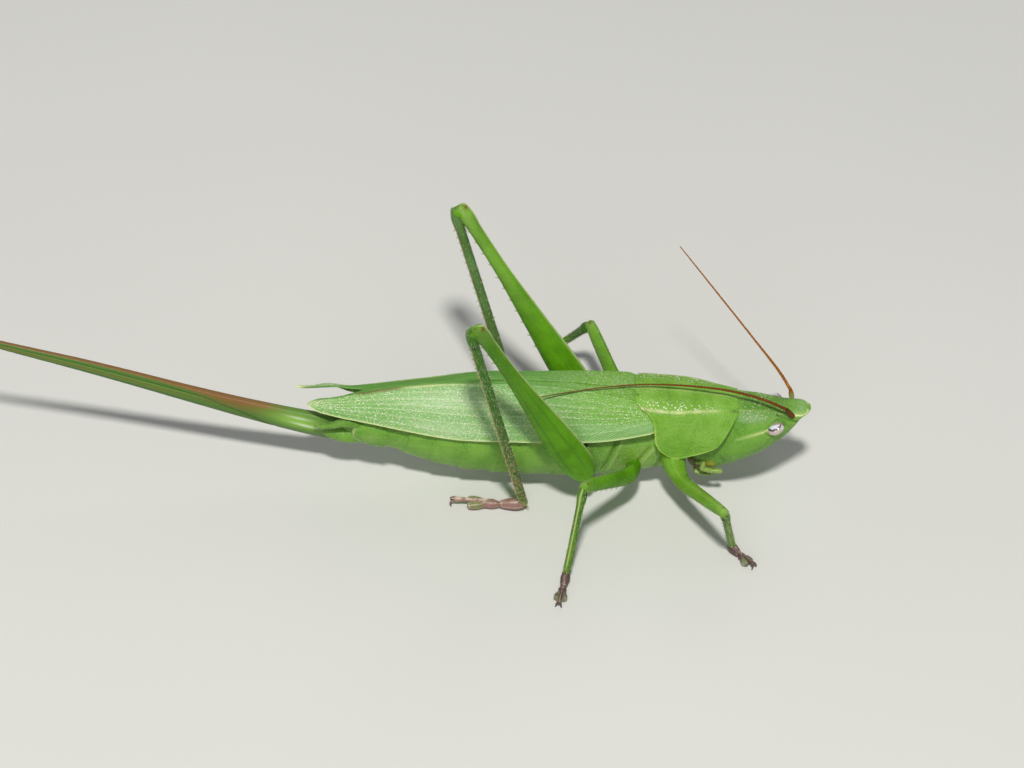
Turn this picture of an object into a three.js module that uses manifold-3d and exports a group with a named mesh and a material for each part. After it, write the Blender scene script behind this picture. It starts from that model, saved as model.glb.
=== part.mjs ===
// A life-size adult female conehead katydid, one of the long-horned grasshoppers, standing at rest.
// Millimetres, +X towards the head, +Y to the animal's left, +Z up, with its six feet on z = 0.
// It is modelled with x = 0 between the hind hips and y = 0 in the middle of the body. The finished
// group is then moved so that its origin is the middle of the whole animal's box, on the floor.
import * as THREE from "three";
import { mergeVertices } from "three/addons/utils/BufferGeometryUtils.js";
import Module from "manifold-3d";

const wasm = await Module();
wasm.setup();

// ---------------------------------------------------------------- driving dimensions

const GAP = 0.08; // clearance left where one piece is cut by its neighbour
const PLATE = 0.5; // thickness of the pronotum's shell and of the wings
const FINE = 0.25; // least radius of a claw, feeler or palp
const SLIVER = 0.002; // edges and needle faces finer than this are merged away
const CONE_TIP_X = 14.6; // the front of the cone on the head
const NECK_X = 7.0; // where the head leaves the first ring of the thorax
const ABDOMEN_END_X = -17.8;
const WING_TIP_X = -20.4;
const OVIPOSITOR = { from: -16.8, to: -46 };

// The abdomen's rings: where each one ends on the floor plane, and how far it leans forward per
// millimetre of height.
const RING_ENDS = [-1.0, -3.2, -5.4, -7.6, -9.8, -11.9, -13.8, -15.5];
const RING_LEAN = 0.12;

// A smooth curve through [x, value] pairs given in rising x, flat beyond its ends.
function profile(...keys) {
  const slope = keys.map((key, i) => {
    const before = keys[Math.max(i - 1, 0)];
    const after = keys[Math.min(i + 1, keys.length - 1)];
    const turns = (key[1] - before[1]) * (after[1] - key[1]) <= 0;
    const inside = i > 0 && i < keys.length - 1;
    return turns && inside ? 0 : (after[1] - before[1]) / (after[0] - before[0]);
  });
  return (x) => {
    if (x <= keys[0][0]) return keys[0][1];
    if (x >= keys.at(-1)[0]) return keys.at(-1)[1];
    const i = keys.findIndex((key) => key[0] > x) - 1;
    const span = keys[i + 1][0] - keys[i][0];
    const t = (x - keys[i][0]) / span;
    const s = 1 - t;
    const ends = keys[i][1] * (1 + 2 * t) * s * s + keys[i + 1][1] * (3 - 2 * t) * t * t;
    return ends + span * t * s * (slope[i] * s - slope[i + 1] * t);
  };
}

// The trunk under the pronotum and the wings: its top, underside, widest height and half width.
const trunk = {
  top: profile([-17.6, 5.9], [-14, 6.5], [-10, 7.3], [-5, 8.0], [0, 8.3], [4, 8.1], [7, 7.7]),
  bottom: profile(
    [-17.6, 3.2], [-14.3, 2.85], [-13.4, 2.5], [-11.5, 1.82], [-8.8, 1.27],
    [-6, 1.08], [-2, 1.12], [1, 1.3], [4, 2.0], [7, 3.2],
  ),
  waist: profile([-17.6, 4.9], [-14, 4.7], [-10, 4.3], [-5, 4.1], [0, 4.3], [4, 4.7], [7, 5.4]),
  half: profile(
    [-17.6, 0.95], [-16, 1.25], [-14.3, 1.5], [-11.5, 1.85], [-8, 2.1], [0, 2.1], [4, 1.8], [7, 1.4],
  ),
};

// The head: the flat crown, the slanting face below it, and the cheeks.
const head = {
  rings: [6.2, 7, 8, 9.1, 10.2, 11.2, 12, 12.7, 13.3, 13.8, 14.2, 14.46, CONE_TIP_X],
  top: profile(
    [6.2, 7.3], [8, 7.95], [9.4, 8.25], [11, 8.2], [12.4, 8.05], [13.4, 8.35], [14.2, 8.4], [14.6, 8.1],
  ),
  bottom: profile(
    [6.2, 4.4], [7, 2.7], [7.7, 2.1], [9.16, 2.8], [10.5, 3.65], [11.8, 4.45],
    [12.8, 5.3], [13.5, 6.4], [13.95, 7.35], [14.4, 7.7], [14.6, 7.95],
  ),
  waist: profile([6.2, 5.6], [9, 5.2], [11, 5.9], [12.4, 6.8], [13.4, 7.4], [14, 7.8], [14.6, 8.02]),
  half: profile(
    [6.2, 1.2], [7.5, 1.75], [9, 2.0], [10.5, 1.95], [11.8, 1.65],
    [12.8, 1.22], [13.5, 0.98], [14.1, 0.75], [14.45, 0.45], [14.6, 0.2],
  ),
};
const EYE = { at: [12.15, 1.42, 7.15], long: 0.62, bulge: 0.56, short: 0.44, tilt: 40 };

// The pronotum: the carina where its flat disc turns down into the side lobe, and the lobe's plane.
const pronotum = {
  crown: profile([2.4, 9.3], [5.5, 9.2], [7.6, 8.95], [9.6, 8.6]),
  carinaZ: profile([2.4, 8.9], [5.5, 8.85], [7.6, 8.7], [9.6, 8.4]),
  carinaHalf: profile([2.4, 1.85], [5, 1.72], [9.6, 1.42]),
  lobeHalf: profile([2.4, 2.5], [5, 2.5], [9.6, 2.15]),
  lobeZ: 4.3,
  // Its outline from the side, as corners that a smooth curve rounds off.
  side: [
    [2.3, 9.6], [2.75, 8.7], [3.4, 7.4], [3.75, 6.2], [4.45, 5.2], [5.4, 4.75],
    [6.6, 5.1], [7.7, 5.6], [8.4, 6.4], [8.9, 7.6], [9.45, 8.8], [9.5, 9.6],
  ],
};

// The front wing: the fold beside the flat dorsal field, and the lower edge of its side field.
const tegmen = {
  foldHalf: profile(
    [-20.4, 0.15], [-18.5, 0.4], [-16.3, 0.52], [-10.4, 0.58], [-6, 0.68], [-3, 0.85], [0, 1.2], [4.4, 1.7],
  ),
  foldZ: profile(
    [-20.4, 6.9], [-18.5, 7.45], [-16.3, 7.98], [-13.9, 8.59], [-10.4, 9.18],
    [-6, 9.5], [-3, 9.55], [0, 9.35], [4.4, 8.6],
  ),
  edgeHalf: profile(
    [-20.4, 0.25], [-19, 0.8], [-17.6, 1.25], [-13.8, 2.05], [-9.6, 2.5], [-5, 2.65], [0, 2.6], [4.4, 2.3],
  ),
  edgeZ: profile(
    [-20.4, 6.5], [-19, 6.05], [-15.9, 6.12], [-13.8, 6.04],
    [-9.6, 5.74], [-7.2, 5.85], [0, 6.25], [4.4, 7.2],
  ),
  bulge: 0.22,
};
const HIND_WING = { from: -20.9, to: -4, half: 0.3, drop: 0.7 };

// The ovipositor's sword: its centre line, half height and half width, and the seam of its valves.
const sword = {
  z: profile([-46, 11.85], [-41, 10.4], [-35, 8.73], [-27.7, 6.48], [-24, 5.4], [-20, 4.4], [-16.8, 3.9]),
  half: profile([-46, 0.26], [-44, 0.3], [-41, 0.34], [-35, 0.53], [-27.7, 0.72], [-20, 1.0], [-16.8, 1.05]),
  thick: profile([-46, 0.25], [-40, 0.27], [-30, 0.34], [-22, 0.46], [-16.8, 0.6]),
  seam: -0.12,
};

// The legs: the coxa's root, hip, knee and ankle, and the toe's tip on the floor. The right and left
// legs stand a little differently, and the left foreleg reaches forward beside the head.
const ROOTS = {
  fore: { coxa: [5.2, 1.2, 4.7], hip: [5.85, 2.35, 2.85] },
  mid: { coxa: [2.6, 1.2, 4.0], hip: [2.9, 2.3, 3.0] },
  hind: { coxa: [0.3, 1.2, 4.0], hip: [0.3, 2.75, 3.2] },
};
const LEGS = {
  fore_right: { knee: [8.45, -8.5, 5.8], ankle: [9.58, -6.5, 0.6], toe: [11.1, -8.1] },
  fore_left: { knee: [12.3, 4.4, 4.3], ankle: [10.4, 8.2, 0.6], toe: [12.7, 8.6] },
  mid_right: { knee: [-1.2, -8.25, 7.45], ankle: [-2.0, -9.98, 0.6], toe: [-2.5, -12.6] },
  mid_left: { knee: [-0.5, 9.3, 6.3], ankle: [-3.15, 12.25, 0.6], toe: [-3.4, 14.75] },
  hind_right: { hip: [-0.6, -2.8, 2.9], knee: [-9.15, -6.4, 19.9], ankle: [-4.9, -3.3, 0.7], toe: [-10, -3] },
  hind_left: { knee: [-10.3, 6.6, 19.1], ankle: [-4.6, 3.1, 0.7], toe: [-9.7, 3.3] },
};
// Half sizes along each part, from its upper end to its lower one: depth in the plane in which the
// knee bends, and thickness across it. The shin starts offset from the knee towards the bend.
const FORE_MID = {
  femurDepth: profile([0, 0.5], [0.12, 0.66], [0.35, 0.62], [0.8, 0.5], [0.93, 0.52], [1, 0.34]),
  femurThick: profile([0, 0.36], [0.12, 0.48], [0.35, 0.5], [0.8, 0.42], [1, 0.3]),
  tibiaDepth: profile([0, 0.26], [0.08, 0.4], [0.2, 0.32], [0.7, 0.28], [1, 0.3]),
  tibiaThick: profile([0, 0.26], [0.1, 0.36], [0.25, 0.28], [1, 0.28]),
  coxa: 0.85,
  femurRings: 7,
  femurSides: 8,
  tibiaRings: 5,
  foot: 0.29,
  offset: 0.15,
};
const HIND = {
  femurDepth: profile(
    [0, 0.5], [0.04, 0.86], [0.13, 1.2], [0.25, 1.16], [0.5, 0.78],
    [0.72, 0.5], [0.9, 0.48], [0.96, 0.55], [1, 0.42],
  ),
  femurThick: profile([0, 0.4], [0.05, 0.66], [0.2, 0.8], [0.5, 0.55], [0.75, 0.42], [0.96, 0.42], [1, 0.3]),
  tibiaDepth: profile([0, 0.3], [0.03, 0.45], [0.1, 0.36], [0.6, 0.38], [1, 0.32]),
  tibiaThick: profile([0, 0.26], [0.04, 0.36], [0.12, 0.3], [1, 0.3]),
  coxa: 1.1,
  femurRings: 12,
  femurSides: 10,
  tibiaRings: 7,
  foot: 0.36,
  offset: 0.55,
};
// The foot's half width and its height along it, as shares of the leg's foot size: two narrow pads,
// the broad third one and the thin last joint.
const foot = {
  rings: [0, 0.1, 0.2, 0.31, 0.42, 0.55, 0.67, 0.78, 0.95],
  wide: profile(
    [0, 0.8], [0.1, 0.95], [0.2, 0.8], [0.31, 1.0], [0.42, 0.9],
    [0.55, 1.75], [0.67, 1.1], [0.78, 0.8], [0.95, 0.75],
  ),
  high: profile(
    [0, 2.2], [0.1, 2.3], [0.2, 1.9], [0.31, 2.0], [0.55, 1.6], [0.67, 1.5], [0.78, 1.6], [0.95, 1.5],
  ),
};

// The feelers' centre lines. The right one lies back over the pronotum, the left one is raised.
const FEELERS = {
  right: [
    [13.25, -0.98, 8.0], [12.75, -1.2, 8.8], [11.52, -0.86, 9.14], [10.03, -0.5, 9.36], [8.04, -0.3, 9.6],
    [5.25, -0.1, 9.64], [2.55, -0.3, 9.7], [-0.19, -0.96, 9.88], [-2.8, -1.35, 9.55], [-4.6, -1.7, 9.35],
  ],
  left: [
    [13.25, 0.98, 8.0], [13.0, 1.2, 8.85], [12.16, 1.5, 10.0],
    [10.2, 2.6, 12.0], [7.9, 4.3, 14.0], [5.0, 7.1, 16.0],
  ],
};

// ---------------------------------------------------------------- shapes and solids

const vector = (point) => new THREE.Vector3(...point);
const forward = vector([1, 0, 0]);
const rise = vector([0, 0, 1]);

// Evenly spaced values from one number to another, both included.
function steps(from, to, count) {
  return Array.from({ length: count + 1 }, (_, i) => from + ((to - from) * i) / count);
}

// The angles round a ring, starting half a step past zero unless told otherwise.
function turns(sides, first = 0.5) {
  return Array.from({ length: sides }, (_, i) => ((i + first) / sides) * 2 * Math.PI);
}

// A closed geometry from rings of points: each ring is joined to the next, and the two end rings are
// filled by a ladder of faces from one side of the ring to the other.
function loft(rings) {
  const size = rings[0].length;
  const last = (rings.length - 1) * size;
  const faces = [];
  const quad = (a, b, c, d) => faces.push(a, b, c, a, c, d);
  for (let start = 0; start < last; start += size)
    for (let i = 0; i < size; i++) {
      const next = (i + 1) % size;
      quad(start + i, start + next, start + size + next, start + size + i);
    }
  for (let i = 0; i < size / 2 - 1; i++) {
    const j = size - 1 - i;
    quad(j, j - 1, i + 1, i);
    quad(last + i, last + i + 1, last + j - 1, last + j);
  }
  const geometry = new THREE.BufferGeometry();
  geometry.setFromPoints(rings.flat());
  geometry.setIndex(faces);
  return geometry;
}

// A three.js geometry as a solid that faces out.
function solid(geometry) {
  const bare = geometry.clone();
  bare.deleteAttribute("normal");
  bare.deleteAttribute("uv");
  const merged = mergeVertices(bare, 1e-4);
  const vertProperties = merged.attributes.position.array;
  const triVerts = new Uint32Array(merged.index.array);
  const build = () => new wasm.Manifold(new wasm.Mesh({ numProp: 3, vertProperties, triVerts }));
  const made = build();
  if (made.volume() > 0) return made;
  for (let i = 0; i < triVerts.length; i += 3) {
    const first = triVerts[i];
    triVerts[i] = triVerts[i + 1];
    triVerts[i + 1] = first;
  }
  return build();
}

const union = (...solids) => solids.reduce((all, one) => all.add(one));
const cut = (body, ...tools) => tools.reduce((left, tool) => left.subtract(tool), body);

// The largest piece of a solid, without the slivers and needle faces that a cut can leave.
const largest = (body) => body.decompose().sort((a, b) => b.volume() - a.volume())[0].simplify(SLIVER);

// A ring across X whose upper and lower halves meet at the waist; a power above 1 draws a half in.
function bodyRing(x, top, bottom, waist, half, sides, powerAbove, powerBelow) {
  return turns(sides).map((angle) => {
    const up = Math.sin(angle);
    const across = Math.cos(angle);
    const y = half * Math.sign(across) * Math.abs(across) ** (up > 0 ? powerAbove : powerBelow);
    return new THREE.Vector3(x, y, waist + up * (up > 0 ? top - waist : waist - bottom));
  });
}

// The trunk from one x to another, grown by a margin where it serves as a cutter.
function trunkSolid(from, to, count, grow = 0) {
  const rings = steps(from, to, count).map((x) => {
    const [top, bottom] = [trunk.top(x) + grow, trunk.bottom(x) - grow];
    return bodyRing(x, top, bottom, trunk.waist(x), trunk.half(x) + grow, 14, 1.7, 1);
  });
  return solid(loft(rings));
}

// A part of a limb between two points: an oval tube with its own half depth and half thickness.
function limb(from, to, depthWay, depth, thick, { rings = 8, sides = 8, grow = 0 } = {}) {
  const along = to.clone().sub(from).normalize();
  const deep = depthWay.clone().addScaledVector(along, -depthWay.dot(along)).normalize();
  const wide = along.clone().cross(deep);
  const start = from.clone().addScaledVector(along, -grow);
  const end = to.clone().addScaledVector(along, grow);
  const made = steps(0, 1, rings).map((t) => {
    const centre = start.clone().lerp(end, t);
    return turns(sides).map((angle) => {
      const point = centre.clone().addScaledVector(deep, (depth(t) + grow) * Math.sin(angle));
      return point.addScaledVector(wide, (thick(t) + grow) * Math.cos(angle));
    });
  });
  return solid(loft(made));
}

// A round tube along a smooth curve through points.
function tube(points, radius, count, sides) {
  const section = new THREE.Shape();
  section.absarc(0, 0, radius, 0, 2 * Math.PI);
  const extrudePath = new THREE.CatmullRomCurve3(points.map(vector));
  const settings = { steps: count, curveSegments: sides / 2, bevelEnabled: false, extrudePath };
  return solid(new THREE.ExtrudeGeometry(section, settings));
}

// An egg whose long axis in X is tipped up by so many degrees.
function ellipsoid(centre, radii, tilt = 0) {
  const ball = new THREE.SphereGeometry(1, 10, 6);
  ball.scale(...radii);
  ball.rotateY(THREE.MathUtils.degToRad(-tilt));
  ball.translate(...centre);
  return solid(ball);
}

// A shape drawn in X and Z, given a width of so much to each side of the middle plane.
function sideExtrusion(shape, half) {
  const geometry = new THREE.ExtrudeGeometry(shape, { depth: 2 * half, bevelEnabled: false });
  geometry.translate(0, 0, -half);
  geometry.rotateX(Math.PI / 2);
  return solid(geometry);
}

// A thick slab between two x positions on the floor plane, leaning forward as the rings do.
function slab(from, to) {
  const [low, high] = [-5, 15];
  const corners = [[from, low], [to, low], [to, high], [from, high]];
  const leaning = corners.map(([x, z]) => new THREE.Vector2(x + RING_LEAN * z, z));
  return sideExtrusion(new THREE.Shape(leaning), 20);
}

// Everything on one side of the middle plane, less half the clearance.
function halfSpace(side) {
  const block = new THREE.BoxGeometry(200, 40, 100);
  block.translate(0, side * (20 + GAP / 2), 0);
  return solid(block);
}

// ---------------------------------------------------------------- sheet-like pieces

// A closed ring from the outer line of a sheet's section and the same line set in by its thickness.
function sheetRing(x, outer, thickness) {
  const inner = outer.map((p, i) => {
    const before = outer[Math.max(i - 1, 0)];
    const after = outer[Math.min(i + 1, outer.length - 1)];
    const way = new THREE.Vector2().subVectors(after, before).normalize();
    return new THREE.Vector2(p.x - way.y * thickness, p.y + way.x * thickness);
  });
  return [...outer, ...inner.reverse()].map((p) => new THREE.Vector3(x, p.x, p.y));
}

// The front wing's section as distance from the middle plane and height, from its lower edge over the
// bulging side and the fold to the middle of the back.
function wingLine(x) {
  const fold = new THREE.Vector2(tegmen.foldHalf(x), tegmen.foldZ(x));
  const edge = new THREE.Vector2(tegmen.edgeHalf(x), tegmen.edgeZ(x));
  const side = steps(0, 1, 4).map((t) => {
    const point = edge.clone().lerp(fold, t);
    point.x += tegmen.bulge * Math.sin(Math.PI * t);
    return point;
  });
  return [...side, new THREE.Vector2(GAP, fold.y + GAP)];
}

function wingSolid(side) {
  const rings = steps(WING_TIP_X, 4.4, 12).map((x) => {
    const height = tegmen.foldZ(x) - tegmen.edgeZ(x);
    const ring = sheetRing(x, wingLine(x), Math.min(PLATE, Math.max(0.2, height * 0.6)));
    return ring.map((p) => p.setY(side * p.y));
  });
  return solid(loft(rings)).intersect(halfSpace(side));
}

// The folded hind wing, a strip under the front wing's dorsal field that shows past its tip.
function hindWingSolid(side) {
  const rings = steps(HIND_WING.from, HIND_WING.to, 4).map((x) => {
    const top = tegmen.foldZ(Math.max(x, WING_TIP_X + 1)) - HIND_WING.drop;
    const half = Math.min(HIND_WING.half, 0.3 + 0.4 * (x - HIND_WING.from));
    const corners = [[GAP, top], [GAP, top - PLATE], [GAP + half, top - PLATE], [GAP + half, top]];
    return corners.map(([y, z]) => new THREE.Vector3(x, side * y, z));
  });
  return solid(loft(rings));
}

// The pronotum's saddle, as thick as asked, before its side outline is cut.
function saddleSolid(thickness, grow = 0) {
  const rings = steps(2.2, 9.6, 7).map((x) => {
    const carina = new THREE.Vector2(pronotum.carinaHalf(x) + grow, pronotum.carinaZ(x) + grow);
    const edge = new THREE.Vector2(pronotum.lobeHalf(x) + grow, pronotum.lobeZ - grow);
    const crown = new THREE.Vector2(0, pronotum.crown(x) + grow);
    const flank = [edge.clone().lerp(carina, 0.35), edge.clone().lerp(carina, 0.7)];
    for (const point of flank) point.x += 0.11;
    const shoulder = new THREE.Vector2(carina.x * 0.5, crown.y - 0.04);
    const half = [edge, ...flank, carina, shoulder];
    const other = half.map((p) => new THREE.Vector2(-p.x, p.y)).reverse();
    return sheetRing(x, [...half, crown, ...other], thickness);
  });
  return solid(loft(rings));
}

// The block inside the pronotum's side outline, grown by a margin.
function pronotumOutline(grow) {
  const middle = new THREE.Vector2(6, 7);
  const corners = pronotum.side.map(([x, z]) => {
    const corner = new THREE.Vector2(x, z);
    return corner.addScaledVector(corner.clone().sub(middle).normalize(), grow);
  });
  return sideExtrusion(new THREE.Shape(new THREE.SplineCurve(corners).getPoints(22)), 6);
}

// ---------------------------------------------------------------- head and tail

function headSolid() {
  const ring = (x) => bodyRing(x, head.top(x), head.bottom(x), head.waist(x), head.half(x), 14, 0.62, 0.95);
  return solid(loft(head.rings.map(ring)));
}

function eyeSolid(side, grow = 0) {
  const [x, y, z] = EYE.at;
  return ellipsoid([x, side * y, z], [EYE.long + grow, EYE.bulge + grow, EYE.short + grow], EYE.tilt);
}

// A feeler: its thick first joint in the socket, and the long thread.
function feelerSolid(points, grow = 0) {
  const radius = () => FINE + 0.1;
  const [root, joint] = points.map(vector);
  const scape = limb(root, joint, rise, radius, radius, { rings: 1, sides: 6, grow });
  return union(tube(points, FINE + grow, 17, 6), scape);
}

// The upper lip and the chin, one block under the front of the mouth.
function jawSolid(grow = 0) {
  const lip = ellipsoid([7.9, 0, 2.15], [0.95 + grow, 0.85 + grow, 0.62 + grow], 25);
  const chin = ellipsoid([7.1, 0, 2.75], [0.7 + grow, 0.8 + grow, 0.7 + grow]);
  return union(lip, chin);
}

// A palp beside the mouth, curving down and forward.
function palpSolid(side) {
  const points = [[6.9, 0.9, 2.6], [6.95, 1.35, 2.1], [7.5, 1.6, 2.0], [8.1, 1.55, 2.2], [8.6, 1.45, 2.5]];
  return tube(points.map(([x, y, z]) => [x, side * y, z]), FINE, 5, 6);
}

// One pair of the ovipositor's valves, above or below the seam between them.
function valveSolid(above) {
  const rings = steps(OVIPOSITOR.to, OVIPOSITOR.from, 11).map((x) => {
    const seam = sword.z(x) + sword.half(x) * sword.seam + (above ? GAP : -GAP) / 2;
    const half = sword.half(x);
    const outer = sword.z(x) + (above ? Math.max(half, FINE) : -Math.max(half, FINE));
    const wide = sword.thick(x);
    const middle = (seam + outer) / 2;
    const levels = [[wide, seam], [wide, middle], [wide * 0.6, outer]];
    const left = levels.map(([y, z]) => new THREE.Vector3(x, y, z));
    const right = levels.map(([y, z]) => new THREE.Vector3(x, -y, z)).reverse();
    return [...left, ...right];
  });
  return solid(loft(rings));
}

// A short curved feeler at the abdomen's end.
function cercusSolid(side) {
  const points = [[-16.6, 0.9, 5.4], [-17.7, 1.15, 5.6], [-18.7, 1.15, 5.25], [-19.7, 0.95, 4.9]];
  return tube(points.map(([x, y, z]) => [x, side * y, z]), FINE, 5, 6);
}

// ---------------------------------------------------------------- legs

// A foot from the ankle to the claws, with its underside lying flat on the floor.
function footSolid(ankle, toe, size) {
  const way = toe.clone().sub(ankle).setZ(0);
  const across = new THREE.Vector3(-way.y, way.x, 0).normalize();
  const at = (t, aside, z) => ankle.clone().addScaledVector(way, t).addScaledVector(across, aside).setZ(z);
  const rings = foot.rings.map((t) =>
    turns(6, 0).map((angle) => {
      const lift = Math.max(0, 0.45 + 0.6 * Math.sin(angle));
      return at(t, size * foot.wide(t) * Math.cos(angle), size * foot.high(t) * lift);
    }),
  );
  const claws = [1, -1].map((side) => {
    const [root, tip] = [at(0.88, side * 0.12, size * 0.9), at(1, side * 0.42, FINE)];
    return limb(root, tip, rise, () => FINE, () => 0.2, { rings: 1, sides: 6 });
  });
  return union(solid(loft(rings)), ...claws);
}

// All the pieces of one leg, cut free of each other and of the body.
function legPieces(leg, size, body) {
  const [coxa, hip, knee, ankle] = [leg.coxa, leg.hip, leg.knee, leg.ankle].map(vector);
  const thigh = knee.clone().sub(hip).normalize();
  const shin = ankle.clone().sub(knee).normalize();
  const bend = shin.clone().addScaledVector(thigh, -shin.dot(thigh)).normalize();
  const start = knee.clone().addScaledVector(bend, size.offset);
  const coxaPiece = (grow) =>
    limb(coxa, hip, forward, (t) => size.coxa - 0.3 * t, (t) => 0.75 - 0.2 * t, { rings: 3, sides: 8, grow });
  const femurMesh = { rings: size.femurRings, sides: size.femurSides };
  const tibiaMesh = { rings: size.tibiaRings, sides: 6 };
  const femur = (grow) => limb(hip, knee, bend, size.femurDepth, size.femurThick, { ...femurMesh, grow });
  const tibia = (grow) => limb(start, ankle, bend, size.tibiaDepth, size.tibiaThick, { ...tibiaMesh, grow });
  return {
    coxa: cut(coxaPiece(0), body),
    femur: cut(femur(0), coxaPiece(GAP), body),
    tibia: cut(tibia(0), femur(GAP)),
    tarsus: cut(footSolid(ankle, vector([...leg.toe, 0]), size.foot), tibia(GAP)),
  };
}

// ---------------------------------------------------------------- the animal

// Colour and roughness of each finish.
const finishes = {
  cuticle: [0x5f9b2c, 0.45],
  pronotum: [0x68a531, 0.5],
  wing: [0x8fbf72, 0.45],
  abdomen: [0x74ad33, 0.4],
  eye: [0xd9c3bb, 0.25],
  feeler: [0x8a4a22, 0.5],
  ovipositor: [0x6f8a3c, 0.35],
  tibia: [0x5c8a45, 0.5],
  tarsus: [0x9c7068, 0.55],
  mouth: [0x9db34a, 0.5],
};

const insect = new THREE.Group();

// Adds one named piece to the animal.
function add(name, finish, body) {
  const mesh = largest(body).getMesh();
  const geometry = new THREE.BufferGeometry();
  geometry.setAttribute("position", new THREE.BufferAttribute(new Float32Array(mesh.vertProperties), 3));
  geometry.setIndex(new THREE.BufferAttribute(mesh.triVerts, 1));
  geometry.computeVertexNormals();
  const [color, roughness] = finishes[finish];
  const piece = new THREE.Mesh(geometry, new THREE.MeshStandardMaterial({ color, roughness, metalness: 0 }));
  piece.name = name;
  insect.add(piece);
}

const SIDES = { right: -1, left: 1 };
const shellTool = saddleSolid(PLATE + 2 * GAP, GAP).intersect(pronotumOutline(GAP));
const trunkTool = trunkSolid(ABDOMEN_END_X, NECK_X, 14, GAP);
const swordTool = union(valveSolid(true), valveSolid(false));

add("pronotum", "pronotum", saddleSolid(PLATE).intersect(pronotumOutline(0)));

const headTools = [shellTool, jawSolid(GAP), slab(-5, NECK_X + GAP / 2)];
for (const [side, sign] of Object.entries(SIDES)) {
  headTools.push(eyeSolid(sign, GAP), feelerSolid(FEELERS[side], GAP));
  add("eye_" + side, "eye", eyeSolid(sign));
  add("antenna_" + side, "feeler", feelerSolid(FEELERS[side]));
  add("palp_" + side, "mouth", cut(palpSolid(sign), jawSolid(GAP), headSolid()));
}
add("head", "cuticle", cut(headSolid(), ...headTools));
add("mouthparts", "mouth", jawSolid());

// The trunk is parted into the front thorax, the winged thorax and the rings of the abdomen.
const marks = [NECK_X, 4.3, ...RING_ENDS];
const names = ["prothorax", "thorax", ...RING_ENDS.slice(1).map((_, i) => "abdomen_" + (i + 1))];
names.forEach((name, i) => {
  const [front, rear] = [marks[i] - GAP / 2, marks[i + 1] + GAP / 2];
  const piece = trunkSolid(rear - 0.6, front + 1.2, 2).intersect(slab(rear, front));
  add(name, name.startsWith("abdomen") ? "abdomen" : "cuticle", cut(piece, shellTool, jawSolid(GAP)));
});
const tip = trunkSolid(ABDOMEN_END_X, -14, 4).intersect(slab(-30, RING_ENDS.at(-1) - GAP / 2));
add("abdomen_tip", "abdomen", cut(tip, swordTool));
const plate = ellipsoid([-17.4, 0, 3.2], [1.5, 0.75, 0.42], -12);
add("subgenital_plate", "abdomen", cut(plate, swordTool, trunkTool));
add("ovipositor_upper", "ovipositor", valveSolid(true));
add("ovipositor_lower", "ovipositor", valveSolid(false));

const wingTools = [pronotumOutline(GAP), trunkTool];
for (const [side, sign] of Object.entries(SIDES)) {
  const wing = wingSolid(sign);
  add("tegmen_" + side, "wing", cut(wing, ...wingTools));
  add("hindwing_" + side, "wing", cut(hindWingSolid(sign), wing, trunkTool));
  add("cercus_" + side, "abdomen", cut(cercusSolid(sign), swordTool, trunkTool, wing));
}

const body = union(trunkTool, shellTool);
for (const [name, leg] of Object.entries(LEGS)) {
  const [pair, side] = name.split("_");
  const onSide = ([x, y, z]) => [x, SIDES[side] * y, z];
  const whole = { coxa: onSide(ROOTS[pair].coxa), hip: onSide(ROOTS[pair].hip), ...leg };
  const pieces = legPieces(whole, pair === "hind" ? HIND : FORE_MID, body);
  for (const [piece, made] of Object.entries(pieces))
    add([pair, piece, side].join("_"), piece in finishes ? piece : "cuticle", made);
}

// The origin goes to the middle of the whole animal's box, on the floor.
const box = new THREE.Box3().setFromObject(insect, true);
const middle = box.getCenter(new THREE.Vector3());
for (const piece of insect.children) piece.geometry.translate(-middle.x, -middle.y, -box.min.z);

export default insect;
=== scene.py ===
"""The looks of a life-size adult female conehead katydid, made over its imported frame.

Shapes are worked out in millimetres: +X towards the head, +Y to the insect's left, +Z up from the
floor, x = 0 between the hind hips. Each mesh is moved into the frame, in metres, as it is made.
"""

import math

import bpy
import numpy as np
from bpy.props import FloatProperty, FloatVectorProperty, IntProperty, PointerProperty
from mathutils import Matrix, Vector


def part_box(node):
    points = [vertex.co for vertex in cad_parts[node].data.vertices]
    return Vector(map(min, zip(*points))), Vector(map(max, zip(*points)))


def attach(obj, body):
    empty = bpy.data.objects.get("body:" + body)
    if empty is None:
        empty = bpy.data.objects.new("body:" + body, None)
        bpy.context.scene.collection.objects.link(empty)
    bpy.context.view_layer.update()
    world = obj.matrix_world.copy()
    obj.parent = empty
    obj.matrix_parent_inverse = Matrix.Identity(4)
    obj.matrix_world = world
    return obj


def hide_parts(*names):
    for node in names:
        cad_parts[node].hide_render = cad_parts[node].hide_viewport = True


bl_info = {
    "name": "Conehead Katydid",
    "version": (1, 0, 0),
    "blender": (4, 5, 0),
    "location": "View3D > Sidebar > Katydid",
    "description": "Builds the skin, wings, legs, feelers and stage of a life-size katydid",
    "category": "Object",
}

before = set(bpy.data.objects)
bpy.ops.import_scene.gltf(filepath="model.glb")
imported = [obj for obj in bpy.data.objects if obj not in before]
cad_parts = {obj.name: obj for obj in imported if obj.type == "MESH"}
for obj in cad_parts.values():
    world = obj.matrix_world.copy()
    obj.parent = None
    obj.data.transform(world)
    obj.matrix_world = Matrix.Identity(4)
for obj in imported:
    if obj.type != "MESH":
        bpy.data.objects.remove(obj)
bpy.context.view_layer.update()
MM = 0.001
BAKE_PATCH = 0.0014  # radius of one hair's patch in the bake map
EYE_CENTRE = (12.15, 1.42, 7.15)
EYE_RADII = (0.63, 0.52, 0.41)
EYE_TILT = math.radians(30)
SIDES = (("right", -1), ("left", 1))
BLACK = (0.006, 0.006, 0.005)


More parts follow.
